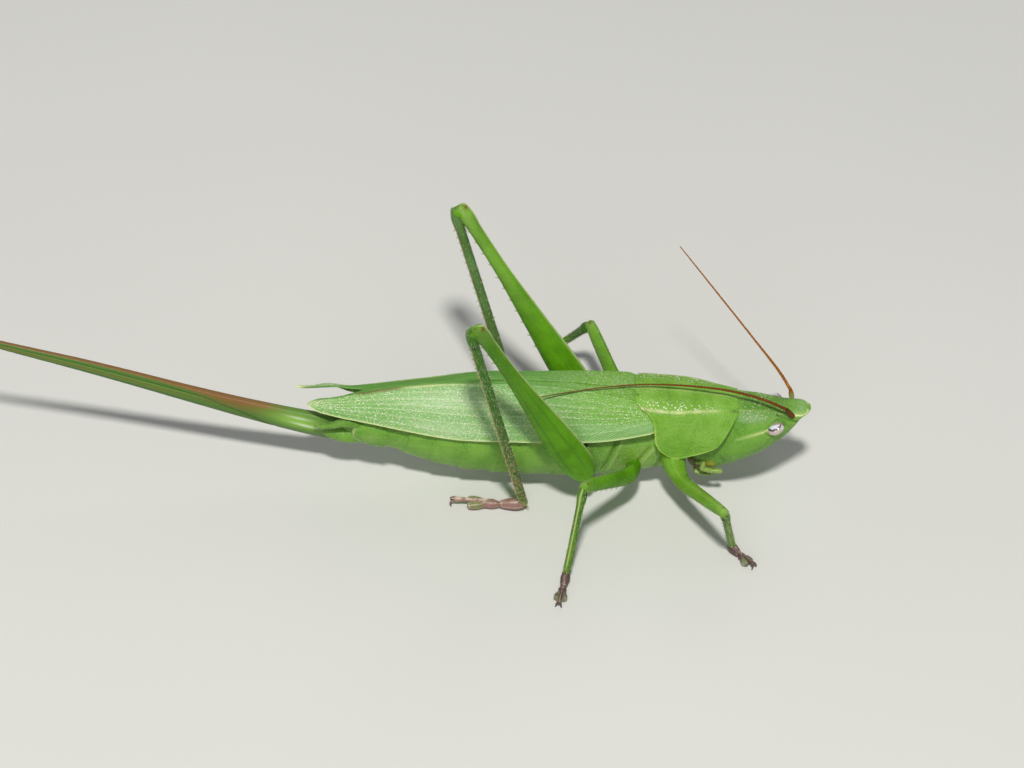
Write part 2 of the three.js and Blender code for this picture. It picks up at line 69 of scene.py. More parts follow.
def frame_shift():
    """Where the shapes' own zero lies in the frame, in millimetres, read from the two eyes."""
    corners = [np.array(corner) for side in ("left", "right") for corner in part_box("eye_" + side)]
    return np.mean(corners, axis=0) / MM - np.array([EYE_CENTRE[0], 0, EYE_CENTRE[2]])


SHIFT = frame_shift()


# ---------------------------------------------------------------- curves and proportions


def profile(*keys):
    """A smooth curve through (place, value) pairs given in rising order, flat beyond its ends."""
    xs, vs = np.array(keys, float).T
    order = np.arange(len(xs))
    before, after = np.maximum(order - 1, 0), np.minimum(order + 1, len(xs) - 1)
    slope = (vs[after] - vs[before]) / (xs[after] - xs[before])
    turning = (vs - vs[before]) * (vs[after] - vs) <= 0
    turning[[0, -1]] = False
    slope[turning] = 0

    def value(x):
        x = np.clip(np.asarray(x, float), xs[0], xs[-1])
        i = np.clip(np.searchsorted(xs, x, side="right") - 1, 0, len(xs) - 2)
        span = xs[i + 1] - xs[i]
        t = (x - xs[i]) / span
        s = 1 - t
        ends = vs[i] * (1 + 2 * t) * s * s + vs[i + 1] * (3 - 2 * t) * t * t
        return ends + span * t * s * (slope[i] * s - slope[i + 1] * t)

    return value


def ease(low, high, x):
    """0 below low, 1 above high and smooth between. With low above high it falls instead."""
    t = np.clip((np.asarray(x, float) - low) / (high - low), 0, 1)
    return t * t * (3 - 2 * t)


def between(x, start, full, fading, end):
    """0 outside start and end, and 1 from full to fading."""
    return ease(start, full, x) * ease(end, fading, x)


def bell(x, centre, width):
    """1 at the centre, falling off over the width on both sides."""
    return np.exp(-(((x - centre) / width) ** 2))


def spot(a, b, width):
    """A round spot where both distances are 0."""
    return bell(np.hypot(a, b), 0, width)


def clipped(marks, top=1):
    """The same marks held between 0 and the top value, or only kept from going below 0."""
    return {name: np.clip(values, 0, top) for name, values in marks.items()}


def pitch(tilt):
    """The 3x3 matrix that tips a shape's front end up by an angle in radians."""
    return np.array([[np.cos(tilt), 0, -np.sin(tilt)], [0, 1, 0], [np.sin(tilt), 0, np.cos(tilt)]])


def near(x, z, points, width):
    """A soft mask along a line of (x, z) points: 1 on the line, falling off over the width."""
    best = np.full(np.shape(x), 1e9)
    for (ax, az), (bx, bz) in zip(points, points[1:]):
        dx, dz = bx - ax, bz - az
        t = np.clip(((x - ax) * dx + (z - az) * dz) / (dx * dx + dz * dz), 0, 1)
        best = np.minimum(best, (x - ax - t * dx) ** 2 + (z - az - t * dz) ** 2)
    return np.exp(-best / width**2)


TRUNK = {
    "top": profile((-17.6, 5.9), (-14, 6.5), (-10, 7.3), (-5, 8.0), (0, 8.3), (4, 8.1), (7, 7.7)),
    "bottom": profile(
        (-17.6, 3.55), (-16.6, 3.45), (-15.5, 3.1), (-14.3, 2.85), (-13.4, 2.5), (-11.5, 1.82),
        (-8.8, 1.27), (-6, 1.08), (-2, 1.12), (1, 1.3), (4, 2.0), (7, 3.2),
    ),
    "waist": profile((-17.6, 4.9), (-14, 5.0), (-10, 4.8), (-5, 4.7), (0, 4.7), (4, 4.8), (7, 5.4)),
    "half": profile(
        (-17.6, 0.95), (-16, 1.25), (-14.3, 1.55), (-11.5, 2.08), (-8, 2.38),
        (-3, 2.36), (1, 2.15), (4, 1.8), (7, 1.4),
    ),
}
HEAD = {
    "top": profile(
        (6.2, 7.3), (8, 8.1), (9.4, 8.46), (11, 8.35), (12.4, 8.12), (13.4, 8.22), (14.1, 8.17), (14.6, 7.9)
    ),
    "bottom": profile(
        (6.2, 4.4), (7, 2.7), (7.7, 2.1), (9.16, 2.8), (10.5, 3.65), (11.8, 4.45),
        (12.8, 5.3), (13.5, 6.4), (13.95, 7.35), (14.4, 7.7), (14.6, 7.95),
    ),
    "waist": profile((6.2, 5.6), (9, 5.2), (11, 5.9), (12.4, 6.8), (13.4, 7.4), (14, 7.8), (14.6, 8.02)),
    "half": profile(
        (6.2, 1.2), (7.5, 1.7), (9, 1.9), (10.5, 1.92), (11.8, 1.65),
        (12.8, 1.22), (13.5, 0.98), (14.1, 0.75), (14.45, 0.45), (14.6, 0.2),
    ),
}
RING_ENDS = (-1.0, -3.2, -5.4, -7.6, -9.8, -11.9, -13.8, -15.5)
RING_LEAN = 0.12
PRONOTUM = {
    "crown": profile((2.2, 9.22), (3.5, 9.12), (5.5, 9.0), (7.6, 8.84), (9.6, 8.58)),
    "carina_z": profile((2.2, 8.86), (3.5, 8.72), (5, 8.64), (6.5, 8.64), (8, 8.52), (9.6, 8.37)),
    "carina_half": profile((2.2, 1.7), (3.5, 1.84), (5, 1.86), (6.5, 1.66), (8, 1.33), (9.6, 1.0)),
    "lobe_half": profile((2.4, 2.5), (7.5, 2.5), (9.6, 2.42)),
    "rear": profile(
        (4.8, 5.3), (5.0, 4.95), (5.48, 4.33), (6.13, 3.9), (7, 3.75),
        (7.65, 3.66), (8.28, 3.3), (8.66, 2.85), (9.1, 2.3),
    ),
    "front": profile(
        (4.8, 5.42), (5.0, 5.9), (5.23, 6.5), (5.67, 7.5), (6.08, 8.15),
        (7.05, 8.75), (7.74, 9.18), (8.28, 9.48), (9.2, 9.45),
    ),
}
LOBE_LOW = 4.8
TEGMEN = {
    "fold_half": profile(
        (-20.4, 0.15), (-18.5, 0.4), (-16.3, 0.52), (-10.4, 0.58),
        (-6, 0.68), (-3, 0.85), (0, 1.2), (4.4, 1.7)
    ),
    "fold_z": profile(
        (-20.4, 6.72), (-18.5, 7.2), (-16.3, 7.95), (-13.9, 8.59), (-10.4, 9.18),
        (-6, 9.5), (-3, 9.55), (0, 9.4), (2.2, 9.14), (4.4, 8.75),
    ),
    "edge_half": profile(
        (-20.4, 0.5), (-19, 0.85), (-17.6, 1.25), (-13.8, 2.05), (-9.6, 2.5), (-5, 2.65), (0, 2.6), (4.4, 2.3)
    ),
    "edge_z": profile(
        (-20.4, 6.15), (-19, 6.12), (-15.9, 6.14), (-13.8, 6.04),
        (-9.6, 5.74), (-7.2, 5.85), (0, 6.25), (4.4, 7.2)
    ),
}
# The left wing's fold lies lower towards the tip and runs out into a longer point.
LEFT_FOLD = profile(
    (-21, 7.62), (-17.7, 7.6), (-15.9, 7.84), (-14, 8.25), (-12.2, 8.63), (-8.5, 9.4),
    (-6, 9.5), (-3, 9.55), (0, 9.4), (2.2, 9.14), (4.4, 8.75),
)
WING_TIPS = {1: -21.0, -1: -20.2}
SWORD = {
    "z": profile((-46, 11.85), (-41, 10.4), (-35, 8.73), (-27.7, 6.48), (-24, 5.4), (-20, 4.4), (-16.8, 3.9)),
    "half": profile(
        (-46, 0.26), (-44, 0.3), (-41, 0.34), (-35, 0.53),
        (-27.7, 0.72), (-20, 1.0), (-16.8, 1.05), (-15.6, 0.8)
    ),
    "thick": profile((-46, 0.12), (-40, 0.24), (-30, 0.34), (-22, 0.46), (-16.8, 0.6)),
    "seam": profile((-46, 0.42), (-28.2, 0.42), (-26.8, 0.28), (-25, -0.12), (-23.6, -0.5), (-22.2, -1)),
}


def joints(hip, knee, ankle, toe):
    """A leg's joints, and the place on the floor of its toe's tip."""
    return {"hip": hip, "knee": knee, "ankle": ankle, "toe": toe}


LEGS = {
    "fore_right": joints((5.45, -2.5, 3.05), (8.45, -8.5, 5.8), (9.58, -6.5, 0.6), (11.1, -8.1)),
    "fore_left": joints((5.85, 2.35, 2.85), (12.3, 4.4, 4.3), (10.4, 8.2, 0.6), (12.7, 8.6)),
    "mid_right": joints((2.9, -2.3, 3), (-1.2, -8.25, 7.45), (-2, -9.98, 0.6), (-2.5, -12.6)),
    "mid_left": joints((2.9, 2.3, 3), (-0.5, 9.3, 6.3), (-3.15, 12.25, 0.6), (-3.4, 14.75)),
    "hind_right": joints((-0.6, -2.8, 2.9), (-9.15, -6.4, 19.9), (-4.9, -3.3, 0.7), (-10, -3)),
    "hind_left": joints((0.3, 2.75, 3.2), (-10.3, 6.6, 19.1), (-4.6, 3.1, 0.7), (-9.7, 3.3)),
}
COXA_ROOTS = {"fore": (5.12, 1.2, 4.9), "mid": (2.5, 1.0, 3.5), "hind": (-0.4, 0.8, 3.7)}
FORE_MID = {
    "offset": 0.15, "foot": 0.29,
    "femur_depth": profile(
        (-0.35, 0.84), (-0.1, 0.8), (0.08, 0.72), (0.3, 0.6), (0.8, 0.5), (0.93, 0.5), (1, 0.38)
    ),
    "femur_thick": profile((-0.35, 0.74), (-0.1, 0.68), (0.1, 0.56), (0.35, 0.5), (0.8, 0.42), (1, 0.34)),
    "tibia_depth": profile((0, 0.26), (0.08, 0.38), (0.2, 0.3), (0.7, 0.26), (1, 0.28)),
    "tibia_thick": profile((0, 0.26), (0.1, 0.34), (0.25, 0.26), (1, 0.26)),
}
HIND = {
    "offset": 0.55, "foot": 0.36,
    "femur_depth": profile(
        (0, 0.5), (0.04, 0.86), (0.13, 1.2), (0.25, 1.16), (0.5, 0.78),
        (0.72, 0.5), (0.9, 0.46), (0.96, 0.54), (1, 0.46),
    ),
    "femur_thick": profile(
        (0, 0.4), (0.05, 0.66), (0.2, 0.8), (0.5, 0.55), (0.75, 0.4), (0.96, 0.42), (1, 0.34)
    ),
    "tibia_depth": profile((0, 0.28), (0.03, 0.4), (0.1, 0.33), (0.6, 0.33), (1, 0.3)),
    "tibia_thick": profile((0, 0.24), (0.04, 0.34), (0.12, 0.28), (1, 0.27)),
}
FEELERS = {
    "right": (
        (13.25, -0.98, 8.0), (12.75, -1.2, 8.8), (11.52, -0.86, 9.14), (10.03, -0.5, 9.36),
        (8.04, -0.3, 9.6), (5.25, -0.1, 9.61), (2.55, -0.22, 9.62), (-0.19, -0.92, 9.82),
        (-2.8, -1.3, 9.5), (-4.6, -1.7, 9.35),
    ),
    "left": (
        (13.3, 0.98, 8.0), (13.18, 1.12, 8.5), (12.16, 1.5, 10.0), (10.2, 2.6, 12.0),
        (7.9, 4.3, 14.0), (5.0, 7.1, 16.0),
    ),
}


# ---------------------------------------------------------------- mesh making


def unit(v):
    """The same vectors at length 1."""
    v = np.asarray(v, float)
    return v / np.maximum(np.linalg.norm(v, axis=-1, keepdims=True), 1e-9)


def quads(rows, cols, around=True):
    """The faces of a grid of points, joined round its columns if asked."""
    r, c = np.arange(rows - 1)[:, None], np.arange(cols if around else cols - 1)[None]
    a, b = r * cols + c, r * cols + (c + 1) % cols
    return np.stack([a, b, b + cols, a + cols], -1).reshape(-1, 4)


def grid_normals(grid, around=True):
    """The unit normals of a grid of points, whose sign depends on the order of its rows."""
    along = np.gradient(grid, axis=0)
    if around:
        across = (np.roll(grid, -1, 1) - np.roll(grid, 1, 1)) / 2
    else:
        across = np.gradient(grid, axis=1)
    return unit(np.cross(along, across))


def outward_normals(grid):
    """The normals of a grid closed round its columns, pointing away from its middle line."""
    normal = grid_normals(grid)
    middle = grid.mean(axis=1, keepdims=True)
    return normal * np.sign(np.sum((grid - middle) * normal))


def volume(points, faces):
    """Six times the volume under the faces, negative where they turn inwards."""
    a, b, c = points[faces[:, 0]], points[faces[:, 1]], points[faces[:, 2]]
    total = np.einsum("ij,ij->", a, np.cross(b, c))
    if faces.shape[1] == 4:
        total += np.einsum("ij,ij->", a, np.cross(c, points[faces[:, 3]]))
    return total


class Lump:
    """Points, faces and marks gathered for one mesh. A mark is a number for each point."""

    def __init__(self):
        self.points, self.faces, self.marks, self.uv, self.count = [], [], {}, [], 0

    def add(self, points, faces, uv=None, **marks):
        """Adds one closed shape and turns its faces outwards. Faces are arrays of 3 or 4 corners."""
        points = np.asarray(points, float).reshape(-1, 3)
        inside = points.mean(axis=0)
        if sum(volume(points - inside, f) for f in faces) < 0:
            faces = [f[:, ::-1] for f in faces]
        for f in faces:
            self.faces += (f + self.count).tolist()
        for name, values in marks.items():
            values = np.broadcast_to(np.asarray(values, float).reshape(-1), (len(points),))
            self.marks.setdefault(name, []).append((self.count, values))
        self.points.append(points)
        self.uv.append(np.zeros((len(points), 2)) if uv is None else uv)
        self.count += len(points)

    def add_tube(self, grid, **marks):
        """Adds a grid closed round its columns, with both ends filled by fans."""
        rows, cols, _ = grid.shape
        ring = np.arange(cols)
        after, last = (ring + 1) % cols, (rows - 1) * cols
        first = np.stack([after, ring, np.full(cols, rows * cols)], -1)
        final = np.stack([ring + last, after + last, np.full(cols, rows * cols + 1)], -1)
        points = np.vstack([grid.reshape(-1, 3), grid[0].mean(0), grid[-1].mean(0)])
        full = {}
        for name, values in marks.items():
            values = np.broadcast_to(np.asarray(values, float), (rows, cols))
            full[name] = np.concatenate([values.ravel(), [values[0].mean(), values[-1].mean()]])
        self.add(points, [quads(rows, cols), first, final], **full)

    def add_plate(self, outer, inner, **marks):
        """Adds the solid between two open grids of the same size, with its edges closed."""
        rows, cols, _ = outer.shape
        n = rows * cols
        top = quads(rows, cols, False)
        index = np.arange(n).reshape(rows, cols)
        rim = np.concatenate([index[0, :-1], index[:-1, -1], index[-1, :0:-1], index[:0:-1, 0]])
        after = np.roll(rim, -1)
        edge = np.stack([rim, rim + n, after + n, after], -1)
        points = np.vstack([outer.reshape(-1, 3), inner.reshape(-1, 3)])
        full = {}
        for name, values in marks.items():
            values = np.broadcast_to(np.asarray(values, float), (rows, cols)).ravel()
            full[name] = np.concatenate([values, values])
        self.add(points, [top, top[:, ::-1] + n, edge], **full)

    def make(self, name, finish, replaces=(), bake_map=False):
        """The finished object: shaded, finished, riding on the still body and standing for CAD nodes."""
        points = (np.vstack(self.points) + SHIFT) * MM
        mesh = bpy.data.meshes.new(name)
        mesh.from_pydata(points.tolist(), [], self.faces)
        for mark, parts in self.marks.items():
            values = np.zeros(len(points))
            for start, part in parts:
                values[start : start + len(part)] = part
            mesh.attributes.new(mark, "FLOAT", "POINT").data.foreach_set("value", values.astype(np.float32))
        if bake_map:
            corners = np.zeros(len(mesh.loops), int)
            mesh.loops.foreach_get("vertex_index", corners)
            layer = mesh.uv_layers.new(name="OFBake")
            layer.data.foreach_set("uv", np.vstack(self.uv)[corners].astype(np.float32).ravel())
        mesh.polygons.foreach_set("use_smooth", [True] * len(mesh.polygons))
        mesh.materials.append(finish)
        mesh.update()
        piece = bpy.data.objects.new(name, mesh)
        bpy.context.scene.collection.objects.link(piece)
        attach(piece, "root")
        if replaces:
            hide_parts(*replaces)
        return piece


def smooth_path(points, count):
    """Evenly spaced points on a smooth curve through the given ones."""
    p = np.array(points, float)
    p = np.vstack([2 * p[0] - p[1], p, 2 * p[-1] - p[-2]])
    t = np.linspace(0, 1, 24, endpoint=False)[:, None]
    spans = []
    for a, b, c, d in zip(p, p[1:], p[2:], p[3:]):
        bend = t**2 * (a - 2.5 * b + 2 * c - d / 2) + t**3 * (d - a + 3 * (b - c)) / 2
        spans.append(b + t * (c - a) / 2 + bend)
    line = np.vstack(spans + [p[-2:-1]])
    length = np.concatenate([[0], np.cumsum(np.linalg.norm(np.diff(line, axis=0), axis=1))])
    places = np.linspace(0, length[-1], count)
    return np.stack([np.interp(places, length, line[:, k]) for k in range(3)], -1)


def tube_grid(line, radius, sides):
    """Rings round a line of points, without a twist from one to the next."""
    way = unit(np.gradient(line, axis=0))
    side = np.zeros_like(line)
    last = np.array([0, 1, 0.1])
    for i, w in enumerate(way):
        last = unit(last - w * last.dot(w))
        side[i] = last
    up = np.cross(way, side)
    angle = np.arange(sides) / sides * 2 * np.pi
    radius = np.broadcast_to(np.asarray(radius, float), (len(line),))[:, None, None]
    ring = np.cos(angle)[None, :, None] * side[:, None] + np.sin(angle)[None, :, None] * up[:, None]
    return line[:, None] + radius * ring


def limb_grid(a, b, deep, depth, thick, rows, cols, nose):
    """An oval limb with rounded ends. Returns its points, the share of the way along, and the angle.
    The angle is 90 degrees on the side that the deep way points to."""
    a, b = np.array(a, float), np.array(b, float)
    length = np.linalg.norm(b - a)
    way = (b - a) / length
    deep = unit(deep - way * np.dot(deep, way))
    wide = np.cross(way, deep)
    turn = np.linspace(0.04, np.pi / 2, 7)[:-1]
    ends = -nose[0] * np.cos(turn), length + nose[1] * np.cos(turn[::-1])
    s = np.concatenate([ends[0], np.linspace(0, length, rows), ends[1]])
    over = np.where(s < 0, -s / nose[0], np.where(s > length, (s - length) / nose[1], 0))
    shrink = np.sqrt(np.clip(1 - over**2, 0, 1))
    t = np.clip(s / length, 0, 1)
    angle = np.arange(cols) / cols * 2 * np.pi
    ring_deep = (depth(t) * shrink)[:, None] * np.sin(angle)
    ring_wide = (thick(t) * shrink)[:, None] * np.cos(angle)
    grid = (a + s[:, None] * way)[:, None] + ring_deep[..., None] * deep + ring_wide[..., None] * wide
    share = np.broadcast_to((s / length)[:, None], grid.shape[:2])
    return grid, share, np.broadcast_to(angle, grid.shape[:2])


def blob_grid(centre, radii, turn, rows, cols):
    """An egg as rings from one end of its first axis to the other, turned by a 3x3 matrix."""
    polar = np.linspace(0.06, np.pi - 0.06, rows)[:, None]
    angle = (np.arange(cols) / cols * 2 * np.pi)[None]
    x = np.cos(polar) * np.ones_like(angle)
    points = np.stack([x, np.sin(polar) * np.cos(angle), np.sin(polar) * np.sin(angle)], -1) * radii
    return points @ turn.T + centre


def spikes(lump, roots, ways, lengths, radii, sides=3, uv=None):
    """Adds one cone for each root, with its tip marked."""
    roots, ways = np.asarray(roots, float), unit(ways)
    n = len(roots)
    lengths, radii = np.broadcast_to(lengths, n)[:, None], np.broadcast_to(radii, n)[:, None, None]
    side = unit(np.cross(ways, np.where(np.abs(ways[:, 2:]) > 0.9, [[1.0, 0, 0]], [[0, 0, 1.0]])))
    up = np.cross(ways, side)
    angle = np.arange(sides) / sides * 2 * np.pi
    ring = np.cos(angle)[None, :, None] * side[:, None] + np.sin(angle)[None, :, None] * up[:, None]
    base = roots[:, None] + radii * ring
    middle = roots + ways * lengths * 0.55
    tip = roots + ways * lengths
    points = np.concatenate([base, middle[:, None] + 0.6 * radii * ring, tip[:, None]], 1)
    size = 2 * sides + 1
    start = np.arange(n)[:, None] * size
    ring_index = np.arange(sides)
    after = (ring_index + 1) % sides
    walls = np.stack([ring_index, after, after + sides, ring_index + sides], -1)
    caps = np.stack([ring_index + sides, after + sides, np.full(sides, 2 * sides)], -1)
    walls = (start[:, :, None] + walls[None]).reshape(-1, 4)
    caps = (start[:, :, None] + caps[None]).reshape(-1, 3)
    if sides == 3:
        floor = start + np.array([[2, 1, 0]])
        caps = np.vstack([caps, floor])
    along = np.concatenate([np.zeros(sides), np.full(sides, 0.55), [1.0]])
    place = None
    if uv is not None:
        circle = np.stack([np.cos(angle), np.sin(angle)], -1)
        patch = BAKE_PATCH * np.vstack([circle, circle, np.zeros((1, 2))])
        patch[sides : 2 * sides] *= 0.5
        place = (np.asarray(uv)[:, None] + patch[None]).reshape(-1, 2)
    lump.add(points.reshape(-1, 3), [walls, caps], uv=place, tip=np.tile(along, n))


# ---------------------------------------------------------------- finishes


def srgb(code):
    """A linear colour from a six-figure sRGB code."""
    parts = [int(code[i : i + 2], 16) / 255 for i in (0, 2, 4)]
    return tuple(c / 12.92 if c <= 0.04045 else ((c + 0.055) / 1.055) ** 2.4 for c in parts)


class Finish:
    """A material and the short node makers that its recipe is written in."""

    def __init__(self, name, **constants):
        self.material = bpy.data.materials.new(name)
        self.material.use_nodes = True
        tree = self.material.node_tree
        self.nodes, self.links = tree.nodes, tree.links
        self.shader = next(n for n in self.nodes if n.type == "BSDF_PRINCIPLED")
        for socket, value in constants.items():
            self.shader.inputs[socket.replace("_", " ")].default_value = value

    def put(self, socket, value):
        """Joins another socket to this one, or sets its own number or colour."""
        if isinstance(value, bpy.types.NodeSocket):
            self.links.new(value, socket)
        elif hasattr(value, "__len__"):
            socket.default_value = tuple(value) + (1,) * (len(socket.default_value) - len(value))
        else:
            socket.default_value = value

    def node(self, kind, inputs=None, **settings):
        """A new node with its inputs and settings."""
        node = self.nodes.new("ShaderNode" + kind)
        for key, value in settings.items():
            setattr(node, key, value)
        for key, value in (inputs or {}).items():
            self.put(node.inputs[key], value)
        return node

    def mark(self, name):
        """One of the mesh's own marks."""
        return self.node("Attribute", attribute_name=name).outputs["Fac"]

    def scaled(self, vector, stretch):
        """A vector stretched along its axes."""
        return self.node("VectorMath", {0: vector, 1: stretch}, operation="MULTIPLY").outputs[0]

    def place(self):
        """The point on the piece in millimetres."""
        return self.scaled(self.node("TexCoord").outputs["Object"], (1 / MM,) * 3)

    def maths(self, operation, a, b=0.0):
        return self.node("Math", {0: a, 1: b}, operation=operation).outputs[0]

    def mix(self, share, a, b):
        """Colour a, with colour b laid over it by the share."""
        return self.node("Mix", {0: share, 6: a, 7: b}, data_type="RGBA").outputs[2]

    def step(self, value, low, high, top=1.0):
        """0 below low and the top value above high. With low above high it falls instead."""
        inputs = {0: value, 1: min(low, high), 2: max(low, high), 3: 0.0, 4: top}
        if low > high:
            inputs.update({3: top, 4: 0.0})
        return self.node("MapRange", inputs, interpolation_type="SMOOTHSTEP").outputs[0]

    def paint(self, colour, *coats):
        """The colour with marks laid over it in order, each (mark, tint) or (mark, tint, strength)."""
        for mark, tint, *strength in coats:
            share = self.mark(mark)
            if strength:
                share = self.maths("MULTIPLY", share, strength[0])
            colour = self.mix(share, colour, tint)
        return colour

    def noise(self, vector, scale, detail=2.0):
        return self.node("TexNoise", {"Vector": vector, "Scale": scale, "Detail": detail}).outputs[0]

    def cells(self, vector, scale, feature="F1"):
        inputs = {"Vector": vector, "Scale": scale}
        return self.node("TexVoronoi", inputs, feature=feature).outputs["Distance"]

    def bump(self, height, distance, before=None):
        """Relief of a depth in millimetres, over any relief before it."""
        inputs = {"Height": height, "Distance": distance * MM, "Strength": 1.0}
        if before is not None:
            inputs["Normal"] = before
        return self.node("Bump", inputs).outputs[0]

    def done(self, colour, roughness, normal):
        """The material, with its three textured inputs joined up."""
        for socket, value in (("Base Color", colour), ("Roughness", roughness), ("Normal", normal)):
            self.put(self.shader.inputs[socket], value)
        return self.material


def cuticle_finish(name, base, second, grain=0.035, roughness=0.44):
    """The waxy green skin: mottled, finely grained, with its marks painted over it."""
    hue = bpy.context.scene.katydid_colours
    f = Finish(name, Subsurface_Weight=0.12, Subsurface_Scale=0.0006, Specular_IOR_Level=0.34)
    place = f.place()
    fine, pit = f.noise(place, 7, 3), f.cells(place, 5.2)
    # Speckles that break up the pale tint and the painted sheen.
    patchy_share = f.maths("MULTIPLY", f.step(f.noise(place, 9, 3), 0.2, 0.6), 0.8)
    colour = f.mix(f.step(f.noise(place, 0.7, 3), 0.35, 0.65), base, second)
    colour = f.mix(f.step(fine, 0.45, 0.75, 0.35), colour, hue.fleck)
    colour = f.paint(
        # deep: dark lines of the skin, and painted shade in its grooves and hollows
        colour, ("deep", hue.shade, 0.75), ("belly", hue.belly, 0.6),
        ("grit", hue.grain_and_glint_speck, f.step(pit, 0.4, 0.24)), ("frost", hue.frost, patchy_share), ("lime", hue.lime),
        ("cream", hue.cream), ("yellow", hue.yellow), ("brown", hue.brown), ("black", BLACK),
    )
    domes = f.bump(f.step(pit, 0.45, 0.05), grain)
    rough = f.maths("ADD", f.maths("MULTIPLY", fine, 0.22), roughness - 0.11)
    return f.done(colour, rough, f.bump(fine, grain * 1.4, domes))


def wing_finish():
    """The front wing: pale glossy membrane between raised veins, closely netted."""
    hue = bpy.context.scene.katydid_colours
    f = Finish("wing_membrane", Subsurface_Weight=0.1, Subsurface_Scale=0.0004, Specular_IOR_Level=0.5)
    flat = f.node("CombineXYZ", {0: f.mark("along"), 1: f.mark("across")}).outputs[0]
    warp = f.node("TexNoise", {"Vector": flat, "Scale": 1.3, "Detail": 2.0}).outputs[1]
    bent = f.node("VectorMath", {0: flat, 1: f.scaled(warp, (0.16, 0.1, 0))}).outputs[0]
    net = f.cells(f.scaled(bent, (3.2, 8.0, 1)), 1.0, "DISTANCE_TO_EDGE")
    streak = f.noise(f.scaled(bent, (0.5, 6.0, 1)), 1.0, 2)
    colour = f.mix(f.step(streak, 0.3, 0.7, 0.5), hue.wing, hue.wing_pale)
    colour = f.mix(f.step(f.noise(f.place(), 0.5, 2), 0.4, 0.7, 0.55), colour, hue.wing_deep)
    colour = f.paint(colour, ("sheen", hue.sheen, 0.75))
    colour = f.mix(f.step(net, 0.1, 0.0, 0.35), colour, hue.wing_net)
    slanting = f.maths("SUBTRACT", f.mark("along"), f.maths("MULTIPLY", f.mark("across"), 1.6))
    wave = f.maths("SINE", f.maths("MULTIPLY", slanting, 20))
    waves = f.maths("ADD", wave, f.maths("MULTIPLY", streak, 0.9))
    back = f.mix(f.step(streak, 0.35, 0.75, 0.6), hue.wing_back, hue.shoulder)
    colour = f.paint(
        colour, ("vein", hue.wing_vein, 0.42), ("fan", hue.sheen, f.step(waves, 0.6, 1.5, 0.62)),
        ("back", back), ("front", hue.shoulder),
    )
    # Grains: pale dots for the membrane's grains, with the glints of light on them painted in.
    grains = f.node("TexVoronoi", {"Vector": f.scaled(flat, (7.4, 10.4, 1)), "Scale": 1.0})
    lucky = f.step(f.node("SeparateColor", {0: grains.outputs["Color"]}).outputs[0], 0.0, 0.6)
    grain = f.maths("MULTIPLY", f.step(grains.outputs["Distance"], 0.5, 0.26), lucky)
    colour = f.paint(
        colour, ("grit", hue.grain_and_glint_speck, grain), ("deep", hue.shade, 0.7),
        ("cream", hue.cream), ("brown", hue.brown)
    )
    height = f.maths("ADD", f.step(net, 0.0, 0.16, 0.5), f.maths("MULTIPLY", streak, 0.5))
    domes = f.bump(f.maths("MULTIPLY", grain, f.mark("grit")), 0.03)
    rough = f.maths("ADD", f.maths("MULTIPLY", streak, 0.2), 0.3)
    return f.done(colour, rough, f.bump(height, 0.025, domes))


def leg_finish(name, base, second):
    """The thighs and shins: smooth green with faint lengthwise lines."""
    hue = bpy.context.scene.katydid_colours
    f = Finish(name, Subsurface_Weight=0.12, Subsurface_Scale=0.0006, Specular_IOR_Level=0.14)
    place = f.place()
    turned = {0: f.maths("MULTIPLY", f.mark("along"), 0.5), 1: f.maths("MULTIPLY", f.mark("round"), 22)}
    streak = f.noise(f.node("CombineXYZ", turned).outputs[0], 1.0, 2)
    fine = f.noise(place, 9, 2)
    colour = f.mix(f.step(f.noise(place, 0.5, 3), 0.35, 0.65), base, second)
    colour = f.mix(f.step(streak, 0.5, 0.8, 0.4), colour, hue.shade)
    colour = f.mix(f.step(fine, 0.5, 0.8, 0.12), colour, hue.fleck)
    colour = f.paint(
        colour, ("deep", hue.shade, 0.85), ("cream", hue.cream),
        ("rust", hue.rust, f.step(f.noise(place, 4, 3), 0.42, 0.6)), ("brown", hue.brown), ("black", BLACK),
    )
    pits = f.bump(f.step(f.cells(place, 7), 0.4, 0.05), 0.02)
    return f.done(colour, f.maths("ADD", f.maths("MULTIPLY", fine, 0.2), 0.38), f.bump(fine, 0.04, pits))


def banded_finish(name, stops, base, roughness, grain=0.02, specular=0.5, worn=False):
    """A base colour with marks painted over it in order, each (mark, colour, strength)."""
    f = Finish(name, Specular_IOR_Level=specular)
    place = f.place()
    fine, patchy = f.noise(place, 8, 3), f.noise(place, 3.2, 3)
    colour = f.mix(f.step(fine, 0.4, 0.7, 0.35), base, tuple(c * 0.6 for c in base))
    if worn:
        stops = [(mark, tint, f.step(patchy, 0.3, 0.62, strength)) for mark, tint, strength in stops]
    colour = f.paint(colour, *stops)
    rough = f.maths("ADD", f.maths("MULTIPLY", fine, 0.2), roughness - 0.1)
    return f.done(colour, rough, f.bump(fine, grain))


def eye_finish():
    """The eye: glossy pale pinkish, faintly faceted, with a dark jagged band and a painted bluish reflection
    over its upper part and front.
    """
    hue = bpy.context.scene.katydid_colours
    f = Finish("eye_facets", Specular_IOR_Level=0.7, Coat_Weight=0.9, Coat_Roughness=0.05)
    facets = f.cells(f.place(), 22)
    # The pale bluish reflection over the upper part and front is painted.
    colour = f.paint(hue.eye, ("white", (0.78, 0.83, 0.9)), ("shadow", hue.eye_shadow))
    colour = f.mix(f.step(facets, 0.35, 0.6, 0.16), colour, hue.eye_shadow)
    colour = f.paint(colour, ("black", (0.01, 0.012, 0.035)))
    return f.done(colour, 0.2, f.bump(f.step(facets, 0.6, 0.1), 0.005))


def floor_finish():
    """The plain pale studio floor."""
    hue = bpy.context.scene.katydid_colours
    f = Finish("studio_floor", Specular_IOR_Level=0.15)
    cloud = f.noise(f.place(), 0.02, 2)
    colour = f.mix(f.step(cloud, 0.3, 0.7, 0.3), hue.floor, tuple(c * 0.93 for c in hue.floor))
    return f.done(colour, 0.85, f.bump(f.noise(f.place(), 3, 2), 0.004))


